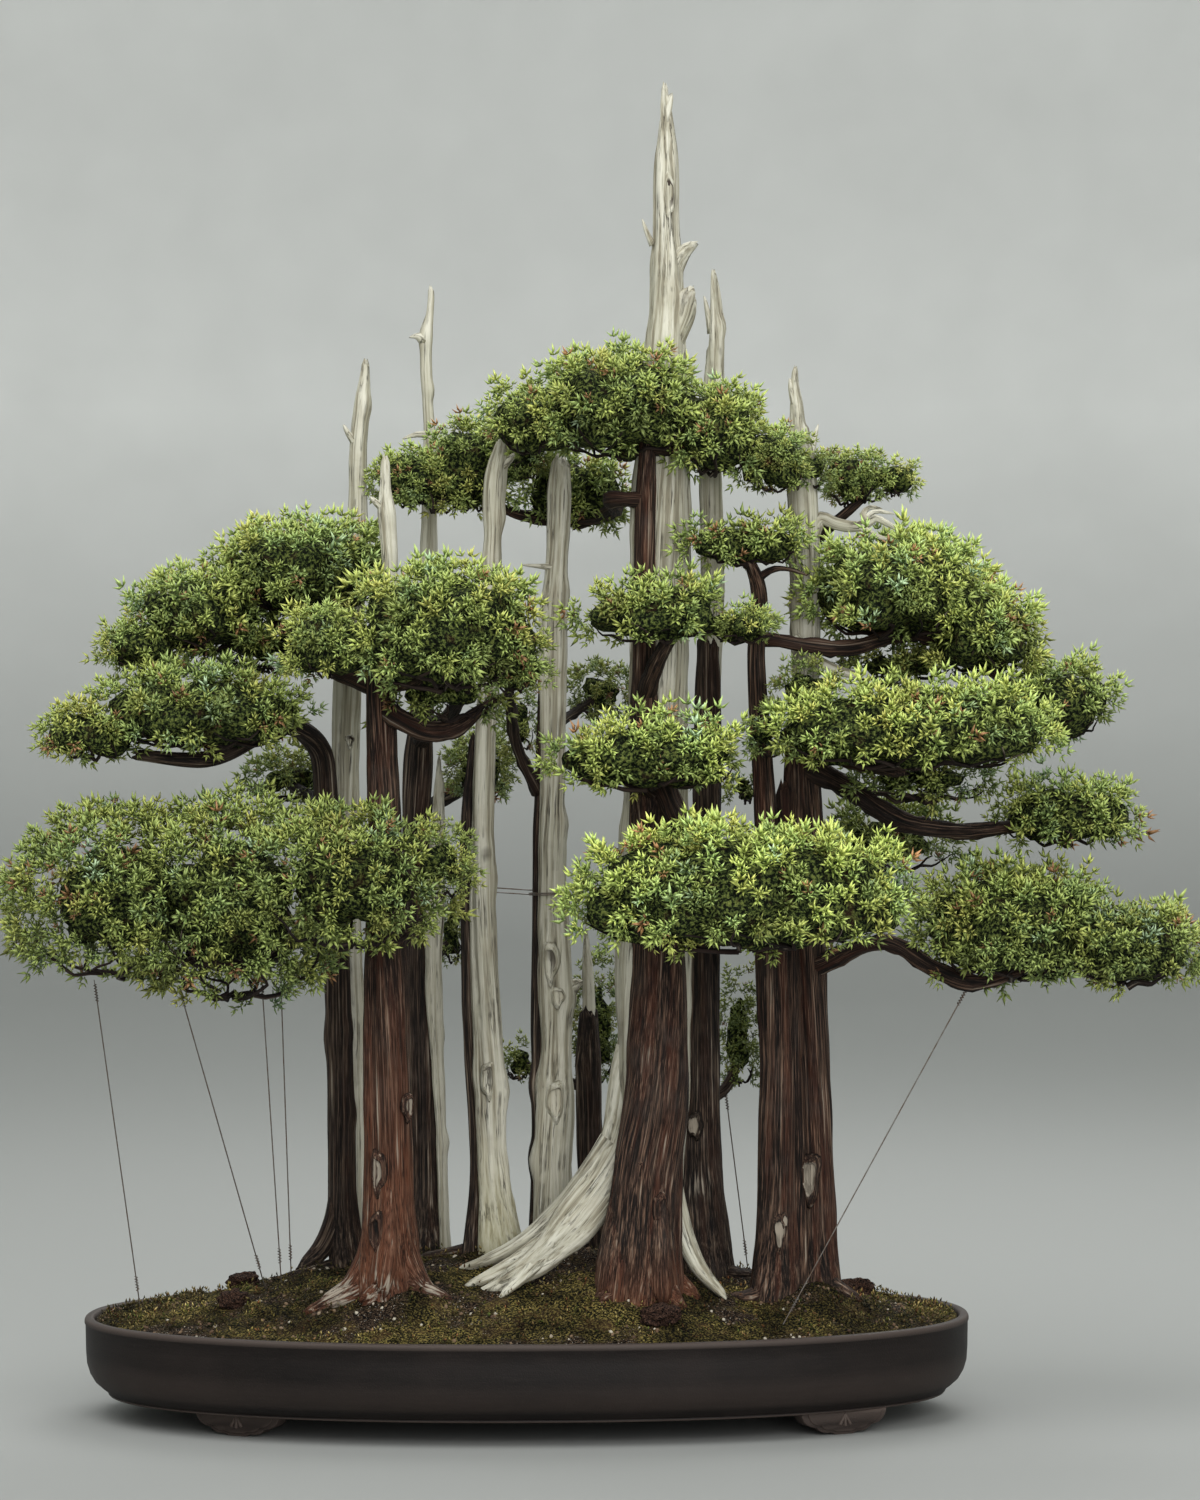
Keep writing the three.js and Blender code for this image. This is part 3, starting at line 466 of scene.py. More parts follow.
# Each lump of a pad is a dome (x, y, z, half length, half depth, rise, fall), widest at z.
PADS: dict[str, Sequence[Lump]] = {
    "crown": [
        (89, -72, 896, 86, 104, 62, 50),
        (12, -60, 886, 52, 70, 42, 34),
        (170, -84, 872, 54, 80, 54, 40),
        (220, -98, 851, 40, 52, 32, 34),
    ],
    "crown_left": [
        (-108, 50, 842, 40, 42, 30, 30),
        (-50, 54, 851, 46, 48, 50, 42),
        (45, 90, 831, 60, 52, 46, 37),
        (-10, 50, 866, 40, 44, 42, 30),
    ],
    "crown_right": [(292, -20, 837, 30, 38, 30, 28), (332, -20, 836, 26, 30, 18, 18)],
    "small_top": [(198, -118, 773, 64, 42, 36, 23)],
    "centre_upper": [(115, -160, 708, 76, 58, 42, 26), (192, -158, 698, 44, 45, 27, 16)],
    "centre_middle": [(111, -180, 584, 93, 60, 47, 30)],
    "centre_low": [(191, -225, 460, 160, 85, 80, 43)],
    "right_upper": [(334, -75, 730, 90, 120, 62, 46), (405, -80, 694, 64, 96, 50, 38)],
    "right_shoulder": [(479, -72, 630, 56, 74, 48, 30)],
    "right_middle": [(338, -170, 603, 133, 78, 58, 32)],
    "right_low_middle": [(479, -86, 533, 73, 60, 43, 30)],
    "right_low": [(432, -112, 440, 96, 100, 57, 54), (528, -112, 421, 76, 84, 49, 42)],
    "left_upper": [
        (-196, -22, 756, 87, 112, 52, 44),
        (-288, -30, 718, 70, 84, 44, 42),
        (-341, -40, 688, 44, 56, 32, 28),
    ],
    "left_middle": [
        (-66, -185, 696, 94, 85, 64, 56),
        (-163, -175, 683, 50, 60, 42, 30),
        (-8, -170, 676, 36, 50, 45, 36),
    ],
    "left_arm": [(-284, -80, 627, 105, 84, 47, 36), (-384, -82, 607, 52, 54, 36, 25)],
    "left_low": [
        (-350, -110, 463, 110, 100, 88, 74),
        (-256, -116, 461, 106, 112, 96, 90),
        (-147, -185, 480, 95, 70, 70, 62),
        (-69, -185, 490, 38, 44, 40, 26),
    ],
    "back_left": [(-218, 118, 565, 50, 52, 32, 22)],
    "back_left_middle": [(-46, 140, 570, 36, 40, 44, 24)],
    "back_left_low": [(-71, 150, 420, 20, 30, 42, 28)],
    "back_centre": [(68, 125, 645, 37, 45, 37, 28)],
    "back_right": [(332, 62, 508, 76, 62, 46, 32)],
    "back_low_centre": [(64, 155, 326, 28, 36, 78, 46)],
    "back_low_left": [(-10, 135, 300, 22, 24, 26, 18)],
    "back_low_right": [(194, 40, 326, 24, 28, 70, 42)],
}

# How bright the shoots of a pad are. A pad that isn't named is at USUAL, or at SHADED behind the trunks.
USUAL = 0.8
SHADED = 0.5
TONES = {
    "centre_low": 1.28, "centre_middle": 1.2, "right_middle": 1.08, "right_upper": 1.0, "left_low": 0.6,
    "right_low": 0.72, "left_arm": 0.72,
}

# Small sprays that hang under a pad or fill the gap to its neighbour, in the shade of the rest.
SPRAYS: dict[str, Sequence[Lump]] = {
    "right_middle": [
        (211, -150, 606, 26, 30, 24, 22),
        (250, -118, 642, 34, 26, 30, 26),
        (350, -100, 566, 80, 56, 14, 24),
    ],
    "right_upper": [(335, -45, 668, 66, 60, 14, 22)],
    "left_middle": [(-70, -110, 644, 64, 50, 18, 30)],
    "back_centre": [
        (-5, 40, 620, 22, 24, 32, 32),
        (-42, 62, 577, 36, 34, 30, 32),
        (201, 84, 559, 22, 22, 20, 18),
    ],
    "crown_left": [(-82, 40, 836, 44, 40, 36, 30)],
    "crown_right": [(306, -25, 838, 34, 36, 26, 26), (252, -60, 846, 30, 34, 26, 26)],
    "left_upper": [(-236, -20, 690, 60, 70, 20, 30)],
}

# Guy wires, each (top, bottom).
WIRES: dict[str, tuple[Spot, Spot]] = {
    "wire_far_left": ((-383, -60, 388), (-348, 0, 80)),
    "wire_left": ((-304, -100, 384), (-234, -10, 102)),
    "wire_left_inner": ((-236, -36, 390), (-221, -4, 104)),
    "wire_left_outer": ((-222, 2, 404), (-214, 22, 104)),
    "wire_right": ((390, -122, 384), (219, -152, 80)),
    "wire_back": ((180, 18, 284), (202, 30, 106)),
}
WIRE_RADIUS = 0.6

# Each bank of moss has its middle (x, y), how far it reaches and how high it is.
BANKS = ((-120, -126, 54, 19), (104, -134, 60, 21), (254, -74, 52, 18), (16, -112, 50, 9))

# Lava rocks (x, y, half length, half depth, half height).
ROCKS: dict[str, tuple[float, float, float, float, float]] = {
    "rock_left_back": (-256, 14, 14, 12, 9),
    "rock_left_front": (-259, -72, 14, 12, 8),
    "rock_front": (118, -184, 17, 13, 9),
    "rock_right": (294, -22, 15, 12, 9),
}


def srgb(red: int, green: int, blue: int) -> tuple[float, float, float, float]:
    """Turn a screen colour, 0 to 255, into the linear colour that a shader takes.

    Args:
        red: Red channel.
        green: Green channel.
        blue: Blue channel.

    Returns:
        Linear red, green, blue and an alpha of 1.
    """
    parts = [c / 255 for c in (red, green, blue)]
    linear = [c / 12.92 if c <= 0.04045 else ((c + 0.055) / 1.055) ** 2.4 for c in parts]
    return (linear[0], linear[1], linear[2], 1.0)


def in_frame(points: np.ndarray) -> np.ndarray:
    """Turn places in the pot's millimetres into metres in the frame.

    Args:
        points: Any array whose last axis is x, y, z.

    Returns:
        The same places in metres.
    """
    return points * MM + POT_MIDDLE


def unit(vectors: np.ndarray) -> np.ndarray:
    """Scale vectors to a length of 1."""
    return vectors / np.linalg.norm(vectors, axis=-1, keepdims=True)


def smooth_noise(points: np.ndarray, seed: int) -> np.ndarray:
    """Draw smooth noise from -1 to 1 at each point, with features about one unit across.

    Args:
        points: Array whose last axis is x, y, z.
        seed: Whole number that picks the pattern.

    Returns:
        One value for each point.
    """
    cell = np.floor(points).astype(np.int64)
    part = points - cell
    part = part * part * (3 - 2 * part)
    total = np.zeros(points.shape[:-1])
    for corner in range(8):
        offset = np.array([corner & 1, corner >> 1 & 1, corner >> 2 & 1])
        at = cell + offset
        mixed = at[..., 0] * 374761393 + at[..., 1] * 668265263 + at[..., 2] * 1440662683 + seed * 974634777
        mixed = (mixed ^ (mixed >> 13)) * 1274126177 & 0x7FFFFFFF
        value = ((mixed ^ (mixed >> 16)) & 0xFFFF) / 32767.5 - 1
        total += value * np.prod(np.where(offset, part, 1 - part), axis=-1)
    return total


def flat_noise(x: np.ndarray, y: np.ndarray, size: float, seed: int) -> np.ndarray:
    """Draw smooth noise over the soil, with features about a size in millimetres across."""
    return smooth_noise(np.stack([x, y, np.zeros_like(x)], axis=-1) / size, seed)


def far_out(x: np.ndarray, y: np.ndarray) -> np.ndarray:
    """Give how far out places lie, from 0 at the pot's middle to 1 inside its lip."""
    return np.hypot(x / (POT_HALF_LENGTH - LIP_WIDTH), y / (POT_HALF_WIDTH - LIP_WIDTH))


def soil_height(x: np.ndarray, y: np.ndarray) -> np.ndarray:
    """Give the height of the mound, in millimetres, at places in the pot.

    Args:
        x: Along the pot's length.
        y: Across it.

    Returns:
        Height of the soil at each place.
    """
    rise = np.maximum(0, 1 - far_out(x, y) ** MOUND_POWER)
    roll = 2 * np.sin(x / 34 + 1) * np.cos(y / 27)
    return SOIL_EDGE + MOUND_RISE * rise + roll * np.minimum(1, 4 * rise)


def banked(x: np.ndarray, y: np.ndarray) -> np.ndarray:
    """Give the height of the soil with the moss banked up round the front trunks, in millimetres."""
    height = soil_height(x, y)
    for bank_x, bank_y, reach, rise in BANKS:
        height = height + rise * np.exp(-((x - bank_x) ** 2 + (y - bank_y) ** 2) / reach**2)
    return height


def oval(x: np.ndarray, y: np.ndarray) -> tuple[np.ndarray, np.ndarray]:
    """Turn round places into places on the pot's oval, so that the wall keeps its thickness.

    Args:
        x: Along the pot, of a round pot as wide as this one.
        y: Across it.

    Returns:
        The moved x and y.
    """
    x = x + 1e-9
    r = np.hypot(x, y)
    c, s = x / r, y / r
    square = (np.abs(c) ** OVAL_POWER + np.abs(s) ** OVAL_POWER) ** (-1 / OVAL_POWER)
    longer = (POT_HALF_LENGTH - POT_HALF_WIDTH) * np.minimum(1, r / 150)
    return (r + longer) * c * square, r * s * square


class Shader:
    """A small builder for the nodes of a material or of a node group."""

    def __init__(self, tree: NodeTree) -> None:
        """Start on an empty tree."""
        self.tree = tree

    def feed(self, node: Node, **inputs: object) -> None:
        """Feed a node's inputs.

        Args:
            node: The node.
            inputs: Socket name, with _ for a space, or i and its number, to a value or another node's output.
        """
        for key, value in inputs.items():
            socket = node.inputs[int(key[1:])] if key[1:].isdigit() else node.inputs[key.replace("_", " ")]
            if isinstance(value, NodeSocket):
                self.tree.links.new(value, socket)
            else:
                socket.default_value = value

    def node(self, kind: str, settings: dict | None = None, **inputs: object) -> Node:
        """Add a node, set it up, feed its inputs and return it.

        Args:
            kind: Node type, without the ShaderNode prefix.
            settings: Properties of the node itself.
            inputs: What its inputs are fed with.
        """
        made = self.tree.nodes.new("ShaderNode" + kind)
        for key, value in (settings or {}).items():
            setattr(made, key, value)
        self.feed(made, **inputs)
        return made

    def place(self) -> NodeSocket:
        """Give the place of a shaded point, in metres."""
        return self.node("TexCoord").outputs["Object"]

    def attribute(self, name: str) -> NodeSocket:
        """Read a vector that the mesh carries."""
        return self.node("Attribute", {"attribute_name": name}).outputs["Vector"]

    def parts(self, vector: NodeSocket) -> Sockets:
        """Take a vector apart into X, Y and Z."""
        return self.node("SeparateXYZ", Vector=vector).outputs

    def group(self, tree: NodeTree, vector: object, fineness: float) -> Sockets:
        """Place a shared group and return its outputs."""
        return self.node("Group", {"node_tree": tree}, Vector=vector, Fineness=fineness).outputs

    def noise(self, vector: NodeSocket, scale: float, detail: float = 3.0) -> NodeSocket:
        """Add noise and return its value, from 0 to 1 and mostly near a half."""
        return self.node("TexNoise", Vector=vector, Scale=scale, Detail=detail, Roughness=0.6).outputs["Fac"]

    def math(self, operation: str, *values: object) -> NodeSocket:
        """Add a math node on up to three values and return its result."""
        inputs = {f"i{i}": value for i, value in enumerate(values)}
        return self.node("Math", {"operation": operation}, **inputs).outputs[0]

    def span(self, value: object, low: float, high: float, to: tuple[float, float] = (0.0, 1.0)) -> object:
        """Map a value from low..high to another span, clamped, and return it."""
        ends = {"From_Min": low, "From_Max": high, "To_Min": to[0], "To_Max": to[1]}
        return self.node("MapRange", Value=value, **ends).outputs["Result"]

    def mix(self, factor: object, first: object, second: object, how: str = "MIX") -> NodeSocket:
        """Mix two colours by a factor and return the colour."""
        settings = {"data_type": "RGBA", "blend_type": how}
        return self.node("Mix", settings, i0=factor, i6=first, i7=second).outputs[2]

    def ramp(self, value: object, *stops: tuple[float, Tone]) -> NodeSocket:
        """Add a ramp through screen colours, each at its place from 0 to 1, and return its colour."""
        made = self.node("ValToRGB", Fac=value)
        points = made.color_ramp.elements
        while len(points) < len(stops):
            points.new(0.5)
        for point, (place, tone) in zip(points, stops):
            point.position = place
            point.color = srgb(*tone)
        return made.outputs["Color"]

    def squash(self, vector: object, size: tuple[float, float, float]) -> NodeSocket:
        """Scale a vector along its three axes and return it."""
        return self.node("Mapping", Vector=vector, Scale=size).outputs["Vector"]

    def enlarge(self, vector: object, times: object) -> NodeSocket:
        """Scale a vector evenly and return it."""
        return self.node("VectorMath", {"operation": "SCALE"}, i0=vector, Scale=times).outputs[0]


def shader_group(name: str, outputs: Sequence[str], build: Callable) -> NodeTree:
    """Make a node group that several materials share, from a Vector and a Fineness.

    Args:
        name: Name of the group.
        outputs: Name of each value that comes out.
        build: Fills the group, from a Shader and the input node's outputs, and returns what comes out.

    Returns:
        The group.
    """
    tree = bpy.data.node_groups.new(name, "ShaderNodeTree")
    tree.interface.new_socket(name="Vector", in_out="INPUT", socket_type="NodeSocketVector")
    fineness = tree.interface.new_socket(name="Fineness", in_out="INPUT", socket_type="NodeSocketFloat")
    fineness.default_value = 1.0
    for key in outputs:
        tree.interface.new_socket(name=key, in_out="OUTPUT", socket_type="NodeSocketFloat")
    start = tree.nodes.new("NodeGroupInput")
    end = tree.nodes.new("NodeGroupOutput")
    for socket, value in zip(end.inputs, build(Shader(tree), start.outputs)):
        tree.links.new(value, socket)
    return tree


def fibre_nodes(shader: Shader, given: Sockets) -> list[NodeSocket]:
    """Fill the group that gives wood its long fibres: strands, broader strips and thin dark cracks."""
    fine = shader.enlarge(shader.squash(given["Vector"], (1.0, 1.0, 0.02)), given["Fineness"])
    strands = shader.noise(fine, 420.0, 4.0)
    strips = shader.noise(fine, 120.0, 3.0)
    line = shader.math("ABSOLUTE", shader.math("SUBTRACT", shader.noise(fine, 95.0, 5.0), 0.5))
    cracks = shader.span(line, 0.0, 0.022, (1.0, 0.0))
    patch = shader.span(shader.noise(given["Vector"], 38.0, 2.0), 0.42, 0.62)
    broken = shader.math("MULTIPLY", cracks, patch)
    wood = shader.math("ADD", shader.math("MULTIPLY", strands, 0.5), strips)
    return [strands, strips, broken, shader.math("SUBTRACT", wood, broken)]


def grit_nodes(shader: Shader, given: Sockets) -> list[NodeSocket]:
    """Fill the group that gives clay, rock and soil their grains, pores and clouded patches."""
    fine = shader.enlarge(given["Vector"], given["Fineness"])
    grains = shader.noise(fine, 900.0, 2.0)
    cells = shader.node("TexVoronoi", Vector=fine, Scale=380.0).outputs["Distance"]
    pores = shader.span(cells, 0.12, 0.4, (1.0, 0.0))
    clouds = shader.noise(fine, 14.0, 3.0)
    return [grains, pores, clouds]


class Finishes:
    """Every material of the forest, made once and shared by its pieces."""

    def __init__(self) -> None:
        """Make the shared groups and then each material."""
        self.fibre = shader_group("Fibre", ("Strands", "Strips", "Cracks", "Relief"), fibre_nodes)
        self.grit = shader_group("Grit", ("Grains", "Pores", "Clouds"), grit_nodes)
        self.red_bark = self.bark("red bark", (11, 7, 5), (34, 21, 16), (138, 108, 88), (72, 38, 24))
        self.dark_bark = self.bark("dark bark", (10, 7, 6), (32, 23, 19), (112, 94, 78), (52, 32, 22))
        self.twig_bark = self.bark("twig bark", (14, 10, 9), (32, 23, 20), (62, 48, 41), (44, 28, 22))
        self.deadwood = self.bleached_wood()
        self.leaves = self.leaf()
        self.pad_heart = self.heart()
        self.moss = self.ground()
        self.moss_tips = self.moss_shoot()
        self.stones = self.stone()
        self.clay = self.fired_clay()
        self.lava = self.rock()
        self.wire = self.plain_metal()
        self.screen = self.plastic_mesh()
        self.floor = self.pale_floor()

    def start(self, name: str, **values: object) -> tuple[Shader, Node, Material]:
        """Make a material with a Principled surface.

        Args:
            name: Name of the material.
            values: Values of the surface's own sockets.

        Returns:
            The node builder, the surface node and the material.
        """
        material = bpy.data.materials.new(name)
        material.use_nodes = True
        material.node_tree.nodes.clear()
        shader = Shader(material.node_tree)
        surface = shader.node("BsdfPrincipled", **values)
        shader.node("OutputMaterial", Surface=surface.outputs["BSDF"])
        return shader, surface, material

    def bump(self, shader: Shader, surface: Node, height: object, depth: float, much: float) -> None:
        """Raise a surface by a height, up to a depth in metres."""
        made = shader.node("Bump", Height=height, Distance=depth, Strength=much)
        shader.feed(surface, Normal=made.outputs["Normal"])

    def bark(self, name: str, dark: Tone, middle: Tone, light: Tone, rust: Tone) -> Material:
        """Make live bark: stringy strips, dark furrows, pale loose fibres, bare or warm marks and painted
        shade.
        """
        shader, surface, material = self.start(name, Specular_IOR_Level=0.25)
        grain = shader.attribute("grain")
        mark = shader.parts(shader.attribute("mark"))
        fibre = shader.group(self.fibre, grain, 3.4)
        body = shader.ramp(fibre["Strips"], (0.32, dark), (0.5, middle), (0.76, light))
        streaks = shader.noise(shader.squash(grain, (1.0, 1.0, 0.05)), 90.0, 2.0)
        body = shader.mix(shader.span(streaks, 0.5, 0.64, (0.0, 0.6)), body, srgb(*rust))
        threads = shader.span(fibre["Strands"], 0.55, 0.68, (0.0, 0.6))
        body = shader.mix(threads, body, srgb(*light))
        grey = shader.span(shader.noise(grain, 26.0, 3.0), 0.5, 0.75, (0.0, 0.55))
        body = shader.mix(grey, body, srgb(70, 60, 54))
        warm = shader.mix(shader.math("MULTIPLY", mark["Z"], 0.5), body, srgb(122, 72, 46))
        furrows = shader.span(fibre["Strands"], 0.36, 0.47, (0.85, 0.0))
        body = shader.mix(furrows, warm, srgb(*dark))
        body = shader.mix(shader.math("MULTIPLY", fibre["Cracks"], 0.8), body, srgb(18, 12, 10))
        loose = shader.math("MULTIPLY_ADD", shader.math("SUBTRACT", fibre["Strips"], 0.5), 1.8, mark["X"])
        body = shader.mix(shader.span(loose, 0.22, 0.46), body, srgb(150, 140, 126))
        # Dark marks: painted shade in holes, inside the lips of eyes and on the boughs under the pads, and a
        # dark ring round pale scars.
        body = shader.mix(shader.span(mark["Y"], 0.25, 0.8), body, srgb(14, 10, 9))
        shader.feed(surface, Base_Color=body, Roughness=shader.span(fibre["Strands"], 0.2, 0.8, (0.95, 0.68)))
        self.bump(shader, surface, fibre["Relief"], 0.0015, 0.9)
        return material

    def bleached_wood(self) -> Material:
        """Make deadwood: silvery cream, finely cracked along the grain, stained, greenish low down and with
        painted shade.
        """
        shader, surface, material = self.start("deadwood", Specular_IOR_Level=0.3)
        grain = shader.attribute("grain")
        mark = shader.parts(shader.attribute("mark"))
        fibre = shader.group(self.fibre, grain, 2.0)
        body = shader.ramp(
            fibre["Strips"], (0.36, (134, 128, 110)), (0.47, (176, 172, 154)), (0.62, (200, 197, 182))
        )
        stain = shader.span(shader.noise(grain, 30.0, 4.0), 0.5, 0.74, (0.0, 0.35))
        body = shader.mix(stain, body, srgb(140, 128, 106))
        body = shader.mix(shader.math("MULTIPLY", mark["Z"], 0.5), body, srgb(168, 162, 108))
        lines = shader.span(fibre["Strands"], 0.3, 0.42, (0.6, 0.0))
        body = shader.mix(lines, body, srgb(96, 86, 70))
        body = shader.mix(shader.math("MULTIPLY", fibre["Cracks"], 0.85), body, srgb(52, 43, 35))
        body = shader.mix(shader.span(mark["X"], 0.1, 0.7, (0.0, 0.7)), body, srgb(190, 182, 160))
        # Dark marks: painted shade in holes and inside the lips of eyes, and a dark ring round pale scars.
        body = shader.mix(shader.span(mark["Y"], 0.2, 0.8), body, srgb(58, 48, 40))
        shader.feed(surface, Base_Color=body, Roughness=shader.span(fibre["Strips"], 0.2, 0.8, (0.8, 0.6)))
        self.bump(shader, surface, fibre["Relief"], 0.0014, 0.8)
        return material

    def leaf(self) -> Material:
        """Make the needles: dark at a shoot's root, yellow-green at its tips, a few brown, with painted light
        and shade.
        """
        shader, surface, material = self.start("juniper shoots", Roughness=0.5, Specular_IOR_Level=0.35)
        leaf = shader.parts(shader.attribute("leaf"))
        deep = shader.ramp(leaf["Y"], (0.0, (80, 106, 66)), (0.5, (100, 116, 54)), (0.96, (116, 118, 54)),
                           (0.98, (96, 70, 44)))
        fresh = shader.ramp(leaf["Y"], (0.0, (166, 188, 150)), (0.15, (148, 168, 100)), (0.6, (162, 174, 92)),
                            (0.95, (182, 182, 98)), (0.98, (150, 112, 76)))
        body = shader.mix(shader.span(leaf["X"], 0.2, 0.85), deep, fresh)
        # Painted light and shade: leaf Z makes shoots lighter on the tops of pads and darker between tufts,
        # on shaded pads and in sprays.
        shade = shader.span(leaf["Z"], 0.0, 1.4, (0.42, 2.35))
        shader.feed(surface, Base_Color=shader.mix(1.0, body, shade, "MULTIPLY"))
        return material

    def heart(self) -> Material:
        """Make the shaded inside of a pad: dead needles and twigs, nearly black between them, in painted
        shade.
        """
        shader, surface, material = self.start("pad heart", Roughness=0.95, Specular_IOR_Level=0.1)
        place = shader.place()
        tangle = shader.noise(place, 330.0, 4.0)
        # Painted shade: the heart is mostly near black, for the shade inside the pad.
        body = shader.ramp(tangle, (0.42, (14, 18, 10)), (0.49, (38, 48, 25)), (0.55, (82, 94, 48)),
                           (0.62, (112, 120, 62)))
        brown = shader.span(shader.noise(place, 70.0, 3.0), 0.58, 0.7, (0.0, 0.6))
        shader.feed(surface, Base_Color=shader.mix(brown, body, srgb(58, 40, 28)))
        self.bump(shader, surface, tangle, 0.006, 1.0)
        return material

    def lush(self, shader: Shader) -> NodeSocket:
        """Give how bright the moss is, which differs from one patch to the next."""
        return shader.span(shader.noise(shader.place(), 15.0, 2.0), 0.42, 0.6, (0.6, 1.9))

    def ground(self) -> Material:
        """Make the soil: brown grit with white specks, under patches of olive moss."""
        shader, surface, material = self.start("mossy soil", Roughness=1.0, Specular_IOR_Level=0.1)
        place = shader.place()
        cover = shader.parts(shader.attribute("cover"))
        grit = shader.group(self.grit, place, 0.55)
        dirt = shader.ramp(grit["Grains"], (0.38, (8, 6, 5)), (0.5, (34, 26, 20)), (0.64, (88, 72, 56)))
        speck = shader.span(shader.noise(place, 620.0, 1.0), 0.69, 0.72)
        dirt = shader.mix(speck, dirt, srgb(190, 184, 172))
        tangle = shader.noise(place, 520.0, 4.0)
        green = shader.ramp(tangle, (0.4, (6, 6, 4)), (0.5, (32, 30, 15)), (0.6, (104, 92, 50)))
        rust = shader.span(shader.noise(place, 44.0, 3.0), 0.52, 0.66, (0.0, 0.6))
        green = shader.mix(rust, green, srgb(56, 42, 27))
        green = shader.mix(1.0, green, self.lush(shader), "MULTIPLY")
        shader.feed(surface, Base_Color=shader.mix(shader.span(cover["X"], 0.35, 0.6), dirt, green))
        self.bump(shader, surface, grit["Grains"], 0.005, 1.0)
        return material

    def moss_shoot(self) -> Material:
        """Make the moss's own shoots: dark at the foot, olive to yellow at the tip, some of them rusty."""
        shader, surface, material = self.start("moss shoots", Roughness=0.8, Specular_IOR_Level=0.15)
        leaf = shader.parts(shader.attribute("leaf"))
        tips = shader.ramp(leaf["Y"], (0.0, (74, 88, 36)), (0.35, (116, 104, 54)), (0.7, (168, 150, 96)),
                           (0.95, (120, 78, 48)))
        body = shader.mix(shader.span(leaf["X"], 0.1, 0.9), srgb(16, 17, 9), tips)
        body = shader.mix(1.0, body, shader.span(leaf["Z"], 0.1, 1.0, (0.08, 1.4)), "MULTIPLY")
        shader.feed(surface, Base_Color=shader.mix(1.0, body, self.lush(shader), "MULTIPLY"))
        return material

    def stone(self) -> Material:
        """Make the small stones: mostly brown, some tan and a few white."""
        shader, surface, material = self.start("small stones", Roughness=0.85, Specular_IOR_Level=0.3)
        leaf = shader.parts(shader.attribute("leaf"))
        body = shader.ramp(leaf["X"], (0.0, (52, 40, 32)), (0.45, (96, 74, 56)), (0.8, (118, 98, 76)),
                           (0.93, (176, 168, 152)))
        stained = shader.span(shader.noise(shader.place(), 900.0, 2.0), 0.5, 0.7, (0.0, 0.4))
        shader.feed(surface, Base_Color=shader.mix(stained, body, srgb(60, 48, 40)))
        return material

    def fired_clay(self) -> Material:
        """Make unglazed clay: a dark purple-brown with a soft sheen and a painted highlight on its sharp
        edges.
        """
        shader, surface, material = self.start("fired clay", Specular_IOR_Level=0.2)
        place = shader.place()
        grit = shader.group(self.grit, place, 0.8)
        body = shader.ramp(grit["Clouds"], (0.3, (17, 13, 12)), (0.5, (22, 17, 15)), (0.7, (29, 23, 21)))
        brushed = shader.noise(shader.squash(place, (0.06, 0.06, 1.0)), 520.0, 3.0)
        body = shader.mix(shader.span(brushed, 0.45, 0.75, (0.0, 0.25)), body, srgb(42, 35, 33))
        # Painted highlight: sharp edges, found by their pointiness, are paler.
        edge = shader.node("NewGeometry").outputs["Pointiness"]
        body = shader.mix(shader.span(edge, 0.51, 0.56, (0.0, 0.7)), body, srgb(92, 80, 74))
        body = shader.mix(shader.span(grit["Grains"], 0.66, 0.74, (0.0, 0.35)), body, srgb(56, 48, 44))
        shader.feed(surface, Base_Color=body, Roughness=shader.span(grit["Clouds"], 0.2, 0.8, (0.5, 0.66)))
        self.bump(shader, surface, grit["Grains"], 0.0004, 0.6)
        return material

    def rock(self) -> Material:
        """Make lava rock: dark red-brown and full of pores."""
        shader, surface, material = self.start("lava rock", Roughness=0.95, Specular_IOR_Level=0.15)
        grit = shader.group(self.grit, shader.place(), 0.9)
        body = shader.ramp(grit["Grains"], (0.36, (24, 17, 14)), (0.52, (58, 40, 32)), (0.7, (102, 76, 62)))
        shader.feed(surface, Base_Color=shader.mix(grit["Pores"], body, srgb(16, 11, 11)))
        self.bump(shader, surface, shader.math("SUBTRACT", grit["Grains"], grit["Pores"]), 0.003, 1.0)
        return material

    def plain_metal(self) -> Material:
        """Make dull dark wire, a little rusty."""
        shader, surface, material = self.start("guy wire", Metallic=0.7)
        rust = shader.noise(shader.place(), 130.0, 3.0)
        body = shader.ramp(rust, (0.4, (112, 108, 103)), (0.7, (98, 78, 64)))
        shader.feed(surface, Base_Color=body, Roughness=shader.span(rust, 0.3, 0.7, (0.38, 0.7)))
        return material

    def plastic_mesh(self) -> Material:
        """Make the drain screens: dark plastic with its open weave."""
        shader, surface, material = self.start("plastic mesh", Roughness=0.6)
        parts = shader.parts(shader.place())
        across = shader.math("PINGPONG", parts["X"], 0.0012)
        along = shader.math("PINGPONG", parts["Y"], 0.0012)
        thread = shader.span(shader.math("MINIMUM", across, along), 0.0002, 0.0004, (1.0, 0.0))
        shader.feed(surface, Base_Color=shader.mix(thread, srgb(10, 10, 9), srgb(44, 47, 42)))
        self.bump(shader, surface, thread, 0.0004, 1.0)
        return material

    def pale_floor(self) -> Material:
        """Make the plain pale floor."""
        shader, surface, material = self.start("pale floor", Roughness=0.9, Specular_IOR_Level=0.1)
        place = shader.place()
        tone = shader.ramp(shader.noise(place, 3.0, 2.0), (0.3, (219, 219, 217)), (0.7, (225, 225, 223)))
        height = shader.parts(place)["Z"]
        shader.feed(surface, Base_Color=shader.mix(shader.span(height, 0.1, 1.6), srgb(144, 145, 143), tone))
        return material


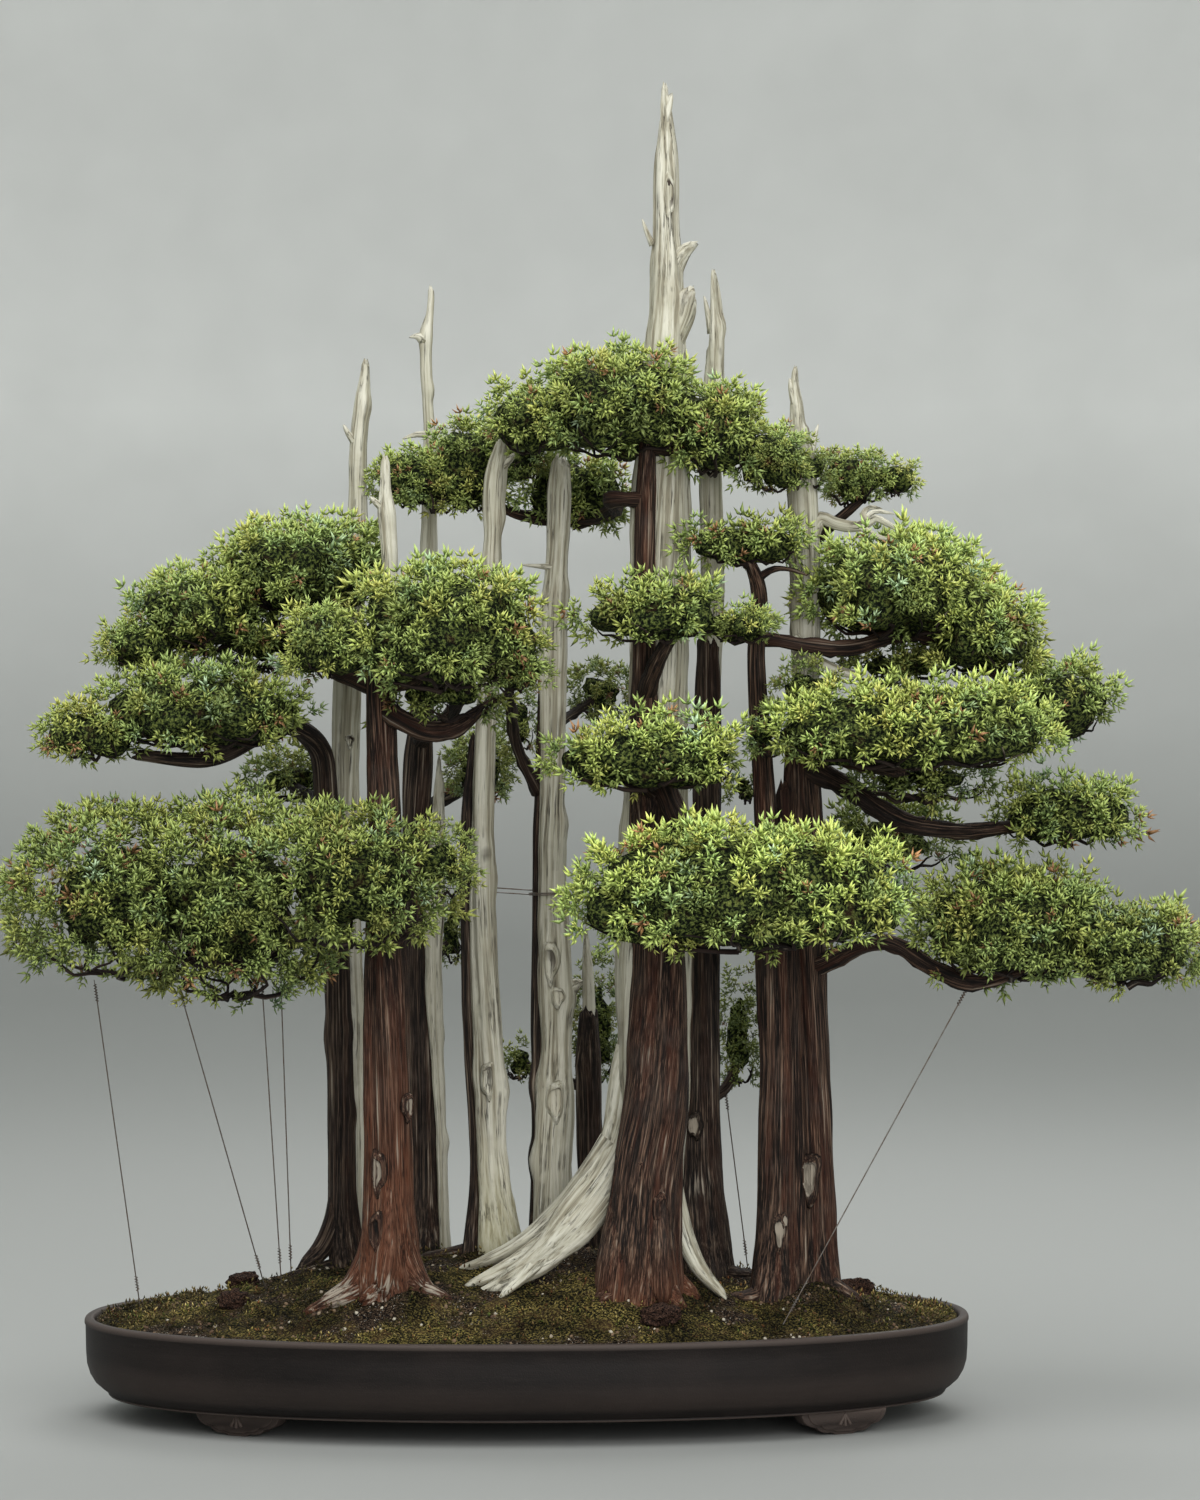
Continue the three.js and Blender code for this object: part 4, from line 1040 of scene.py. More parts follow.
def finished(piece: Object, slot: str, *nodes: str) -> Object:
    """Hang a finished piece on the frame.

    Args:
        piece: The piece, with its place in its mesh.
        slot: Material slot of the record that its finish belongs to. It is not used.
        nodes: CAD nodes that it stands for.

    Returns:
        The piece.
    """
    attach(piece, "root")
    if nodes:
        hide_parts(*nodes)
    LOG.info("%s: %d faces", piece.name, len(piece.data.polygons))
    return piece


def linked(name: str, mesh: Mesh, *materials: Material) -> Object:
    """Put a mesh into the scene as an object at the origin, with its materials."""
    piece = bpy.data.objects.new(name, mesh)
    bpy.context.scene.collection.objects.link(piece)
    for material in materials:
        mesh.materials.append(material)
    return piece


def to_object(name: str, bm: BMesh, *materials: Material) -> Object:
    """Turn a bmesh in metres into a smooth-shaded object.

    Args:
        name: Name of the object.
        bm: The shape. It is freed.
        materials: Materials of the object.

    Returns:
        The object, at the origin.
    """
    bmesh.ops.recalc_face_normals(bm, faces=bm.faces)
    for face in bm.faces:
        face.smooth = True
    mesh = bpy.data.meshes.new(name)
    bm.to_mesh(mesh)
    bm.free()
    return linked(name, mesh, *materials)


def spun(section: Sequence[Flat], steps: int, merge: float) -> BMesh:
    """Spin a section round the Z axis.

    Args:
        section: Radius and height of each of its points.
        steps: Sides of the round shape.
        merge: Points nearer to each other than this become one.

    Returns:
        The round shape.
    """
    bm = bmesh.new()
    verts = [bm.verts.new((r, 0, z)) for r, z in section]
    edges = [bm.edges.new(pair) for pair in zip(verts, verts[1:])]
    bmesh.ops.spin(
        bm, geom=[*verts, *edges], cent=(0, 0, 0), axis=(0, 0, 1), dvec=(0, 0, 0), angle=2 * math.pi,
        steps=steps, use_merge=True, use_normal_flip=False, use_duplicate=False,
    )
    bmesh.ops.remove_doubles(bm, verts=bm.verts, dist=merge)
    return bm


def add_ball(bm: BMesh, fineness: int) -> tuple[list[BMVert], np.ndarray]:
    """Add a ball and return its vertices with the way out at each."""
    verts = bmesh.ops.create_icosphere(bm, subdivisions=fineness, radius=1.0)["verts"]
    return verts, np.array([v.co for v in verts])


def move_to(verts: Sequence[BMVert], points: np.ndarray) -> None:
    """Move vertices to places that are given in the pot's millimetres."""
    for vert, place in zip(verts, in_frame(points)):
        vert.co = place


@dataclass(frozen=True)
class Sleeve:
    """The skin of one limb, as rings of places with what each place knows about itself.

    Attributes:
        places: Rings by sides by x, y, z, in millimetres.
        outward: Direction away from the limb's middle at each place.
        turn: Angle round the limb.
        run: Length along the limb.
        radius: Plain radius of each ring.
    """

    places: np.ndarray
    outward: np.ndarray
    turn: np.ndarray
    run: np.ndarray
    radius: np.ndarray

    @property
    def grain(self) -> np.ndarray:
        """Coordinates that run with the fibres: a section of the limb, and the length along it."""
        return np.stack([np.cos(self.turn) * self.radius, np.sin(self.turn) * self.radius, self.run], axis=-1)


def curve_through(knots: Limb, step: float) -> np.ndarray:
    """Sample a smooth curve through knots.

    Args:
        knots: Places with a radius each.
        step: Wanted distance between samples.

    Returns:
        Samples by x, y, z, radius.
    """
    given = np.array(knots, float)
    chords = np.linalg.norm(np.diff(given[:, :3], axis=0), axis=1)
    at = np.concatenate([[0], np.cumsum(chords)])
    slope = np.gradient(given, at, axis=0)
    samples = []
    for i, chord in enumerate(chords):
        count = max(2, math.ceil(chord / step))
        t = np.arange(count)[:, None] / count
        ahead = (2 * t**3 - 3 * t**2 + 1) * given[i] + (3 * t**2 - 2 * t**3) * given[i + 1]
        bend = (t**3 - 2 * t**2 + t) * slope[i] + (t**3 - t**2) * slope[i + 1]
        samples.append(ahead + chord * bend)
    curve = np.concatenate([*samples, given[-1:]])
    curve[:, 3] = np.clip(curve[:, 3], 0.5, given[:, 3].max() * 1.03)
    return curve


def frames_along(middle: np.ndarray) -> tuple[np.ndarray, np.ndarray, np.ndarray]:
    """Give the way ahead at each point of a curve, and two ways across it that don't turn about it."""
    ahead = unit(np.gradient(middle, axis=0))
    across = np.array([0.0, 0.0, 1.0]) if abs(ahead[0][0]) > 0.8 else np.array([1.0, 0.0, 0.0])
    first = []
    for direction in ahead:
        across = unit(across - direction * (across @ direction))
        first.append(across)
    return ahead, np.array(first), np.cross(ahead, first)


def sleeve(
    knots: Limb, sides: int, step: float, twist: float = 0.0, flute: float = 0.0, phase: float = 0.0
) -> Sleeve:
    """Wrap a limb's knots in a lightly fluted skin.

    Args:
        knots: The limb's knots.
        sides: Places in each ring.
        step: Distance between rings.
        twist: How far the flutes turn in each millimetre along the limb.
        flute: Depth of the flutes, as a share of the radius.
        phase: Where the flutes start.

    Returns:
        The skin.
    """
    curve = curve_through(knots, step)
    middle, radius = curve[:, :3], curve[:, 3]
    ahead, first, second = frames_along(middle)
    run = np.concatenate([[0], np.cumsum(np.linalg.norm(np.diff(middle, axis=0), axis=1))])
    left = np.clip((run[-1] - run) / np.maximum(0.6 * radius, 1.0), 0, 1)
    torn = np.clip(1 - (run[-1] - run) / np.maximum(2.0 * radius, 1.0), 0, 1)[:, None] * radius[:, None]
    radius = radius * (0.55 + 0.45 * np.sqrt(left * (2 - left)))
    turn = np.broadcast_to(np.arange(sides) * 2 * math.pi / sides, (len(curve), sides))
    long_run = np.broadcast_to(run[:, None], turn.shape)
    wide = np.broadcast_to(radius[:, None], turn.shape)
    lean = turn + twist * long_run + phase
    swell = 1 + flute * np.cos(3 * lean + 0.01 * long_run) + 0.5 * flute * np.cos(5 * lean - phase)
    outward = np.cos(turn)[..., None] * first[:, None, :] + np.sin(turn)[..., None] * second[:, None, :]
    places = middle[:, None, :] + outward * (wide * swell)[..., None]
    splinter = 0.5 * np.sin(2 * turn + phase) + 0.35 * np.sin(5 * turn - phase) + 0.2 * np.sin(11 * turn)
    places += (torn * splinter)[..., None] * ahead[:, None, :]
    return Sleeve(places, outward, turn + twist * long_run, long_run, wide)


def bark_relief(skin: Sleeve, seed: int) -> np.ndarray:
    """Give how far the strips of bark stand out at each place, in millimetres."""
    along = skin.grain * np.array([1, 1, 0.06])
    broad = smooth_noise(along / 7.0, seed)
    narrow = smooth_noise(along / 2.6, seed + 1)
    lumps = smooth_noise(skin.grain / 30.0, seed + 2)
    size = np.minimum(1, skin.radius / 14)
    return size * (1.7 * broad + 0.8 * narrow + 1.1 * lumps)


def deadwood_relief(skin: Sleeve, seed: int) -> np.ndarray:
    """Give how far dead grain stands out at each place, with its furrows, in millimetres."""
    along = skin.grain * np.array([1, 1, 0.035])
    broad = smooth_noise(along / 9.0, seed)
    narrow = smooth_noise(along / 2.8, seed + 1)
    furrow = np.maximum(0, 1 - np.abs(smooth_noise(along / 6.0, seed + 2)) / 0.12)
    lumps = smooth_noise(skin.grain / 22.0, seed + 3)
    size = np.minimum(1, skin.radius / 12)
    return size * (1.1 * broad + 0.5 * narrow + 1.3 * lumps - 1.3 * furrow)


@dataclass
class Timber:
    """The wood of one piece, limb by limb, gathered into one mesh."""

    tree: Tree
    side: Side
    coarse: float = 1.0
    least_sides: int = 12
    most_sides: int = 48
    face_width: float = 4.0
    trunk_step: float = 5.0
    bough_step: float = 6.5

    def __post_init__(self) -> None:
        """Start with an empty mesh that can carry grain and marks."""
        self.bm = bmesh.new()
        self.grain = self.bm.verts.layers.float_vector.new("grain")
        self.mark = self.bm.verts.layers.float_vector.new("mark")
        self.count = 0

    def marks(self, places: np.ndarray) -> tuple[np.ndarray, np.ndarray]:
        """Work the tree's burls and stains into a skin.

        Args:
            places: The skin's places, in millimetres.

        Returns:
            How far each place is raised, and its pale, dark (painted shade in holes) and tint marks.
        """
        raised = np.zeros(places.shape[:2])
        marks = np.zeros((*places.shape[:2], 3))
        for burl in self.tree.burls:
            if burl.eye:
                continue
            off = (places - np.array(burl.place)) * np.array([1, 1, 0.8])
            near = np.linalg.norm(off, axis=-1) / burl.reach
            bump = np.exp(-(near**2))
            ring = np.exp(-((near - 1.15) ** 2) * 6)
            raised += burl.height * bump + 0.18 * abs(burl.height) * ring
            marks[..., 0] = np.maximum(marks[..., 0], burl.pale * bump)
            # Dark mark: painted shade where a burl is a hole, and a dark ring round pale scars.
            marks[..., 1] = np.maximum(marks[..., 1], burl.dark * bump + 0.35 * (burl.pale > 0.3) * ring)
        height = places[..., 2] - STAIN_FOOT
        if self.side is Side.BARK and self.tree.warm_below:
            patch = 0.7 + 0.5 * smooth_noise(places / 45.0, 5)
            marks[..., 2] = np.clip(1.15 - height / (self.tree.warm_below - STAIN_FOOT), 0, 1) * patch
        if self.side is Side.DEADWOOD and self.tree.green_below:
            marks[..., 2] = np.clip(1 - height / (self.tree.green_below - STAIN_FOOT), 0, 1)
        return raised, marks

    def cut_away(self, skin: Sleeve) -> np.ndarray:
        """Give the share of the radius that is left where a side of the tip has broken away."""
        left = np.ones(skin.turn.shape)
        if self.side is Side.BARK or skin.radius.max() < 6:
            return left
        for split in self.tree.splits:
            off = np.abs((skin.turn - split.heading + math.pi) % (2 * math.pi) - math.pi)
            wedge = 1 / (1 + np.exp((off - split.half_angle) * 9))
            jag = 5 * np.sin(7 * skin.turn) + 3 * np.sin(17 * skin.turn)
            above = 1 / (1 + np.exp(-(skin.places[..., 2] + jag - split.above) / 1.6))
            left *= 1 - split.depth * wedge * above
        return left

    def limb(self, knots: Limb, main: bool) -> None:
        """Add one limb.

        Args:
            knots: The limb's knots.
            main: Whether it is the trunk, which is worked more finely.
        """
        widest = max(knot[3] for knot in knots)
        around = 2 * math.pi * widest / (self.face_width * self.coarse)
        sides = int(np.clip(around, self.least_sides, self.most_sides))
        step = (self.trunk_step if main else self.bough_step) * self.coarse
        seed = 40 * self.tree.number + 7 * self.count + (3 if self.side is Side.DEADWOOD else 0)
        twist = 0.0016 * (-1) ** self.tree.number
        flute = 0.07 if main or self.side is Side.BARK else 0.12
        skin = sleeve(knots, sides, step, twist, flute, 1.3 * self.count)
        work = bark_relief if self.side is Side.BARK else deadwood_relief
        raised, marks = self.marks(skin.places)
        taper = np.minimum(1, (skin.run.max() - skin.run) / 12 + 0.15)
        out = (work(skin, seed) + raised) * taper
        if self.side is Side.BARK and not main:
            high = np.clip((skin.places[..., 2] - BOUGH_FOOT) / BOUGH_RISE, 0, 1)
            # Painted shade: boughs high up, under the pads, get a dark mark.
            marks[..., 1] = np.maximum(marks[..., 1], 0.46 * high)
            out = out + high * np.minimum(1, skin.radius / 6) * 1.8 * smooth_noise(skin.grain / 8.0, seed + 5)
        left = self.cut_away(skin)
        places = skin.places + skin.outward * (out - (1 - left) * skin.radius)[..., None]
        self.wrap(in_frame(places), skin.grain * MM + 0.37 * self.count, marks)
        self.count += 1

    def wrap(self, rings: np.ndarray, grain: np.ndarray, marks: np.ndarray) -> None:
        """Bend a grid round the rings, close its seam and cap its ends.

        Args:
            rings: Rings by sides by x, y, z, in metres.
            grain: Grain coordinates of each place.
            marks: Marks of each place.
        """
        count, sides = rings.shape[:2]
        made = bmesh.ops.create_grid(self.bm, x_segments=sides, y_segments=count - 1, size=1.0)
        verts = made["verts"]
        around = np.arange(sides + 1) % sides
        rows = zip(verts, rings[:, around].reshape(-1, 3), grain[:, around].reshape(-1, 3),
                   marks[:, around].reshape(-1, 3))
        for vert, place, along, mark in rows:
            vert.co = place
            vert[self.grain] = along
            vert[self.mark] = mark
        bmesh.ops.remove_doubles(self.bm, verts=verts, dist=1e-7)
        rims = [edge for edge in self.bm.edges if edge.is_boundary]
        bmesh.ops.holes_fill(self.bm, edges=rims, sides=0)

    def eye(self, burl: Burl, curve: np.ndarray) -> None:
        """Add an eye: a bare oval of wood, cracked in the middle, inside a raised lip, with painted shade
        inside the lip.

        Args:
            burl: The eye's place, size and colours.
            curve: Samples of the trunk that it stands on.
        """
        place = np.array(burl.place)
        nearest = curve[np.linalg.norm(curve[:, :3] - place, axis=1).argmin()]
        out = unit((place - nearest[:3]) * np.array([1, 1, 0]))
        across = np.cross(np.array([0.0, 0.0, 1.0]), out)
        middle = nearest[:3] + out * nearest[3] * 0.98
        middle[2] = place[2]
        middle += out * max(0.0, float((place - middle) @ out))
        turn = np.arange(24) * 2 * math.pi / 24
        far = np.array([1.6, 1.35, 1.15, 1.02, 0.92, 0.8, 0.55, 0.3, 0.06])
        high = np.array([-0.9, 0.0, 0.6, 0.9, 0.55, 0.15, 0.2, 0.05, 0.1]) * burl.height
        pale = np.array([0, 0, 0, 0.2, 0.5, 1, 1, 1, 1]) * burl.pale
        # Painted shade on the inner slope of the lip, and over the whole middle of a dark eye, for its hole.
        dark = np.array([0, 0, 0.05, 0.1, 0.55, 0.1, 0, 0.12, 0])
        dark = np.where(far < 0.9, np.maximum(dark * (burl.dark < 0.3), burl.dark), dark)
        wander = burl.place[0] + burl.place[2]
        ragged = 1 + 0.1 * np.sin(3 * turn + wander) + 0.07 * np.sin(5 * turn + 2 * wander)
        drop = 0.8 + 0.2 * np.sin(turn)
        side = far[:, None] * burl.reach * np.cos(turn) * ragged * drop
        rise = np.sin(turn) - 0.25 * (1 - np.sin(turn)) ** 2 / 4
        up = far[:, None] * burl.reach * burl.tall * rise * ragged
        bend = side**2 / (2 * nearest[3])
        rings = middle + side[..., None] * across + (high[:, None] - bend)[..., None] * out
        rings[..., 2] += up
        marks = np.zeros(rings.shape)
        marks[..., 0] = pale[:, None]
        # The painted shade is heavier on one upper side of the ring, as if from light above.
        marks[..., 1] = dark[:, None] * (0.7 + 0.5 * np.sin(turn + 0.8))
        grain = np.stack([side, high[:, None] + 0 * side, up], axis=-1)
        self.wrap(in_frame(rings), grain * MM + 0.19 * self.count, marks)

    def build(self, name: str, limbs: Sequence[Limb], material: Material) -> Object:
        """Add every limb of a list, the first one as the trunk, with its eyes, and make the object."""
        for i, knots in enumerate(limbs):
            self.limb(knots, main=i == 0)
        curve = curve_through(limbs[0], self.trunk_step)
        for burl in self.tree.burls:
            off = np.linalg.norm(curve[:, :3] - np.array(burl.place), axis=1) - curve[:, 3]
            if burl.eye and off.min() < 9:
                self.eye(burl, curve)
        return to_object(name, self.bm, material)


@dataclass
class Wood:
    """The ten trees' bark, roots and deadwood."""

    finishes: Finishes

    def root(self, knots: Root) -> Limb:
        """Lay a surface root on the soil, from its places and radii."""
        return [(x, y, float(banked(np.array(x), np.array(y))) + 0.1 * r, r) for x, y, r in knots]

    def build(self) -> None:
        """Make each tree's pieces."""
        for tree in TREES:
            slot = "red_bark" if tree.red else "dark_bark"
            material = self.finishes.red_bark if tree.red else self.finishes.dark_bark
            live = [*tree.bark, *(self.root(root) for root in tree.roots), *tree.flanges]
            name = f"tree_{tree.number}"
            piece = Timber(tree, Side.BARK).build(f"bark_{tree.number}", live, material)
            finished(piece, slot, f"{name}_bark")
            for kind, limbs in (("deadwood", [*tree.deadwood, *tree.fingers]), ("strip", tree.strip)):
                if not limbs:
                    continue
                timber = Timber(tree, Side.DEADWOOD)
                piece = timber.build(f"{kind}_{tree.number}", limbs, self.finishes.deadwood)
                finished(piece, "deadwood", f"{name}_{kind}")


@dataclass(frozen=True)
class Shoot:
    """One leafy shoot, or another small shape, as a mesh of a few dozen faces.

    Attributes:
        corners: Corners by x, y, z, 1 unit long in all.
        faces: Three corners of each face.
        along: How far out along the shoot each corner is, from 0 to 1.
    """

    corners: np.ndarray
    faces: np.ndarray
    along: np.ndarray


def add_needle(bm: BMesh, width: float, size: float, foot: float, lean: float, heading: float) -> None:
    """Add one needle, a slim wedge that is pointed at both ends.

    Args:
        bm: Takes the needle.
        width: Its width at the widest.
        size: Its length.
        foot: Height that it starts from.
        lean: Angle between it and the Z axis.
        heading: Angle round the Z axis.
    """
    made = bmesh.ops.create_cone(
        bm, cap_ends=True, cap_tris=False, segments=3, radius1=width / 2, radius2=0.0, depth=size
    )
    verts = [vert for vert in made["verts"] if vert.is_valid]
    bmesh.ops.remove_doubles(bm, verts=verts, dist=1e-5)
    verts = [vert for vert in verts if vert.is_valid]
    bmesh.ops.translate(bm, verts=verts, vec=(0, 0, size / 2))
    low = sorted(verts, key=lambda v: v.co.z)[:3]
    for vert in low[:2]:
        vert.co.z += 0.4 * size
    turn = Matrix.Rotation(heading, 3, "Z") @ Matrix.Rotation(lean, 3, "Y")
    bmesh.ops.rotate(bm, verts=verts, cent=(0, 0, 0), matrix=turn)
    bmesh.ops.translate(bm, verts=verts, vec=(0, 0, foot))


def shoot(seed: int, whorls: Sequence[int], length: float, width: float) -> Shoot:
    """Make one shoot, 1 unit long, growing along Z, with whorls of needles and one at its tip.

    Args:
        seed: Whole number that picks this shoot's unevenness.
        whorls: Number of needles in each whorl, from the lowest.
        length: Length of a needle.
        width: Its width at the widest.

    Returns:
        The shoot.
    """
    random = np.random.default_rng(seed)
    bm = bmesh.new()
    start = random.uniform(0, 6)
    for i, count in enumerate(whorls):
        foot = 0.2 + 0.4 * i / max(1, len(whorls) - 1)
        for k in range(count):
            heading = start + 2 * math.pi * (k + 0.5 * (i % 2)) / count + random.uniform(-0.25, 0.25)
            lean = random.uniform(0.75, 1.05) - 0.16 * i
            add_needle(bm, width, length * random.uniform(0.85, 1.15), foot, lean, heading)
    add_needle(bm, width, length, 0.66, random.uniform(0, 0.2), start)
    mesh = bpy.data.meshes.new("shoot")
    bmesh.ops.triangulate(bm, faces=bm.faces)
    bmesh.ops.recalc_face_normals(bm, faces=bm.faces)
    bm.to_mesh(mesh)
    bm.free()
    corners = np.array([v.co for v in mesh.vertices])
    faces = np.array([p.vertices for p in mesh.polygons])
    bpy.data.meshes.remove(mesh)
    out = np.hypot(np.hypot(corners[:, 0], corners[:, 1]) * 1.3, corners[:, 2])
    return Shoot(corners, faces, out / out.max())


@dataclass
class Stamp:
    """Many copies of small shapes, gathered into one mesh that carries one vector for each corner."""

    attribute: str

    def __post_init__(self) -> None:
        """Start empty."""
        self.corners: list[np.ndarray] = []
        self.faces: list[np.ndarray] = []
        self.values: list[np.ndarray] = []
        self.total = 0

    def add(self, shape: Shoot, places: np.ndarray, axes: np.ndarray, *carried: np.ndarray) -> None:
        """Add a copy of a shape at each place.

        Args:
            shape: The shape.
            places: Where each copy stands, in metres.
            axes: Three axes of each copy, as the columns of a matrix that also scales it.
            carried: The vector's three parts, each a row for the corners or a column for the copies.
        """
        if not len(places):
            return
        spread = np.einsum("nij,kj->nki", axes, shape.corners) + places[:, None, :]
        size = len(shape.corners)
        first = self.total + size * np.arange(len(places))
        self.corners.append(spread.reshape(-1, 3))
        self.faces.append((shape.faces[None] + first[:, None, None]).reshape(-1, 3))
        self.values.append(np.stack(np.broadcast_arrays(*carried), axis=-1).reshape(-1, 3))
        self.total += size * len(places)

    def build(self, name: str, material: Material) -> Object:
        """Make one object of all the copies."""
        corners = np.concatenate(self.corners)
        faces = np.concatenate(self.faces)
        mesh = bpy.data.meshes.new(name)
        mesh.vertices.add(len(corners))
        mesh.vertices.foreach_set("co", corners.astype(np.float32).ravel())
        mesh.loops.add(faces.size)
        mesh.loops.foreach_set("vertex_index", faces.astype(np.int32).ravel())
        mesh.polygons.add(len(faces))
        mesh.polygons.foreach_set("loop_start", np.arange(0, faces.size, 3, dtype=np.int32))
        layer = mesh.attributes.new(self.attribute, "FLOAT_VECTOR", "POINT")
        layer.data.foreach_set("vector", np.concatenate(self.values).astype(np.float32).ravel())
        mesh.update(calc_edges=True)
        mesh.validate()
        return linked(name, mesh, material)


def axes_along(direction: np.ndarray, turn: np.ndarray, size: np.ndarray, spread: float = 1.0) -> np.ndarray:
    """Give the axes of copies that grow along directions.

    Args:
        direction: Unit direction of each copy.
        turn: Angle that each copy is turned about it.
        size: Length of each copy.
        spread: Width of a copy, as a share of its length's scale.

    Returns:
        Copies by 3 by 3, with the axes as columns.
    """
    helper = np.where(np.abs(direction[:, 2:]) > 0.9, np.array([[1.0, 0, 0]]), np.array([[0, 0, 1.0]]))
    x = unit(np.cross(helper, direction))
    y = np.cross(direction, x)
    c, s = np.cos(turn)[:, None], np.sin(turn)[:, None]
    columns = np.stack([(c * x + s * y) * spread, (c * y - s * x) * spread, direction], axis=-1)
    return columns * size[:, None, None]


def thinned(points: np.ndarray, spacing: float) -> np.ndarray:
    """Pick points so that about one is left in each cube of a side.

    Args:
        points: Places, in a random order.
        spacing: Side of the cubes.

    Returns:
        Indices of the places that stay.
    """
    keys = np.floor(points / spacing).astype(np.int64)
    _, first = np.unique(keys, axis=0, return_index=True)
    return np.sort(first)


@dataclass
class Foliage:
    """The foliage pads: each a heart, dark with painted shade, with thousands of shoots on it, and twigs
    under it.

    Attributes:
        length: Length of a shoot on a large lump, in millimetres.
        spacing: Distance between groups of shoots.
        tuft: Distance between tufts, which the groups gather in.
        star: Shoots in a group.
        leader: Least length of the shoot that leads a group, and how much more it can be, in shoots.
        side: Length of the others.
        brown: Share of the shoots that have died.
        bright: A pad with brighter shoots than this has a heart that nearly fills it.
    """

    finishes: Finishes
    length: float = 17.5
    spacing: float = 17.6
    tuft: float = 38.0
    star: int = 4
    leader: tuple[float, float] = (1.1, 0.42)
    side: float = 0.88
    brown: float = 0.025
    bright: float = 0.6

    def __post_init__(self) -> None:
        """Make the shoots that every pad is stamped with."""
        self.shoots = [shoot(seed, (3, 3), 0.5, 0.16) for seed in range(5)]
        self.lumps = [lump for lumps in PADS.values() for lump in lumps]

    def shoot_length(self, lump: Lump) -> float:
        """Give how long a lump's shoots are. A small lump has shorter ones."""
        return self.length * min(1.0, max(0.6, lump[3] / 60))

    def reach(self, lump: Lump) -> tuple[float, float, float, float]:
        """Give how far a lump reaches under its shoots: along X, along Y, up and down."""
        half_x, half_y, rise, fall = lump[3:]
        long = self.shoot_length(lump)
        up = max(rise - 1.05 * long, 0.45 * rise)
        return half_x - 0.95 * long, half_y - 0.95 * long, up, fall - 0.25 * long

    def dome(self, lump: Lump, ball: np.ndarray, inset: float = 1.0) -> np.ndarray:
        """Press points of a unit ball to a lump's lumpy dome.

        Args:
            lump: The lump.
            ball: Unit directions.
            inset: Share of the dome's size.

        Returns:
            Places in millimetres.
        """
        x, y, z = lump[:3]
        reach_x, reach_y, up, down = self.reach(lump)
        a, b, c = ball.T
        phase = 0.013 * x + 0.021 * z
        wave = 0.07 * np.sin(5 * a + phase) * np.cos(4 * b - phase) + 0.05 * np.sin(9 * a - 7 * b)
        power = np.where(c > 0, POWER_ABOVE, POWER_BELOW)
        full = (np.hypot(a, b) ** power + np.abs(c) ** power) ** (-1 / power) + wave
        sides = np.stack([reach_x * a, reach_y * b, np.where(c > 0, up, down) * c], axis=1)
        return np.array([x, y, z]) + inset * sides * full[:, None]

    def buried(self, points: np.ndarray, own: Lump, within: float) -> np.ndarray:
        """Tell which points lie well inside another lump.

        Args:
            points: Places in millimetres.
            own: The lump that they belong to.
            within: 1 is a lump's surface.

        Returns:
            True for each hidden point.
        """
        hidden = np.zeros(len(points), bool)
        for other in self.lumps:
            if other is own:
                continue
            x, y, z, half_x, half_y, rise, fall = other
            a, b, c = (points - np.array([x, y, z])).T
            half_z = np.where(c > 0, rise, fall)
            hidden |= (a / half_x) ** 2 + (b / half_y) ** 2 + (c / half_z) ** 2 < within
        return hidden

    def ball(self, count: int) -> np.ndarray:
        """Give evenly spread unit directions, by the sunflower rule."""
        i = np.arange(count) + 0.5
        z = 1 - 2 * i / count
        turn = i * math.pi * (3 - math.sqrt(5))
        flat = np.sqrt(1 - z * z)
        return np.stack([flat * np.cos(turn), flat * np.sin(turn), z], axis=1)

    def bulge(self, points: np.ndarray, tufts: np.ndarray) -> tuple[np.ndarray, np.ndarray, np.ndarray]:
        """Tell where points lie in the tufts of a pad.

        Args:
            points: Places in millimetres.
            tufts: Middles of the tufts.

        Returns:
            The way out of each point's tuft, how far out it is from 0 to 1, and how much the pad bulges.
        """
        gap = np.linalg.norm(points[:, None, :] - tufts[None], axis=2)
        reach = 0.62 * self.tuft
        off = (points - tufts[gap.argmin(axis=1)]) / reach
        near = np.clip(gap.min(axis=1) / reach, 0, 1)
        high = 6.0 * smooth_noise(tufts / 9.0, 12)[gap.argmin(axis=1)]
        return off, near, 8.0 * (1 - near**2) - 8.0 * near**4 + high

    def spots(self, lump: Lump, random: np.random.Generator) -> tuple[np.ndarray, np.ndarray, np.ndarray]:
        """Choose where a lump's groups of shoots stand.

        Args:
            lump: The lump.
            random: Takes the draws.

        Returns:
            Their places on the dome, the ways out of it there, and the middles of the tufts.
        """
        half_x, half_y, rise, fall = lump[3:]
        directions = self.ball(int((half_x + half_y) ** 2 / 1.1))
        directions = directions[random.permutation(len(directions))]
        points = self.dome(lump, directions)
        half_z = np.where(directions[:, 2] > 0, rise, fall)
        normal = unit(directions / np.stack([half_x + 0 * half_z, half_y + 0 * half_z, half_z], axis=1))
        small = self.shoot_length(lump) / self.length
        keep = thinned(points, self.spacing * (0.3 + 0.7 * small))
        points, normal = points[keep], normal[keep]
        tufts = points[thinned(points, self.tuft)]
        bare = random.random(len(points)) < np.clip((-0.72 - normal[:, 2]) / 0.2, 0, 0.8)
        seen = ~self.buried(points, lump, 0.72) & ~bare
        return points[seen], normal[seen], tufts

    def fanned(self, way: np.ndarray, random: np.random.Generator) -> tuple[np.ndarray, np.ndarray]:
        """Fan the way of each group out to the ways of its shoots.

        Args:
            way: Unit direction of each group.
            random: Takes the draws.

        Returns:
            The way of each shoot, and whether it leads its group.
        """
        fan = np.tile(np.arange(self.star), len(way))
        heading = 2 * math.pi * fan / (self.star - 1)
        heading += np.repeat(random.uniform(0, 6.3, len(way)), self.star)
        way = np.repeat(way, self.star, axis=0)
        across = unit(np.cross(way, random.normal(0, 1, 3)))
        other = np.cross(way, across)
        lean = np.where(fan == 0, 0.1, random.uniform(0.65, 1.15, len(fan)))[:, None]
        way = way + lean * (np.cos(heading)[:, None] * across + np.sin(heading)[:, None] * other)
        return unit(way), fan == 0

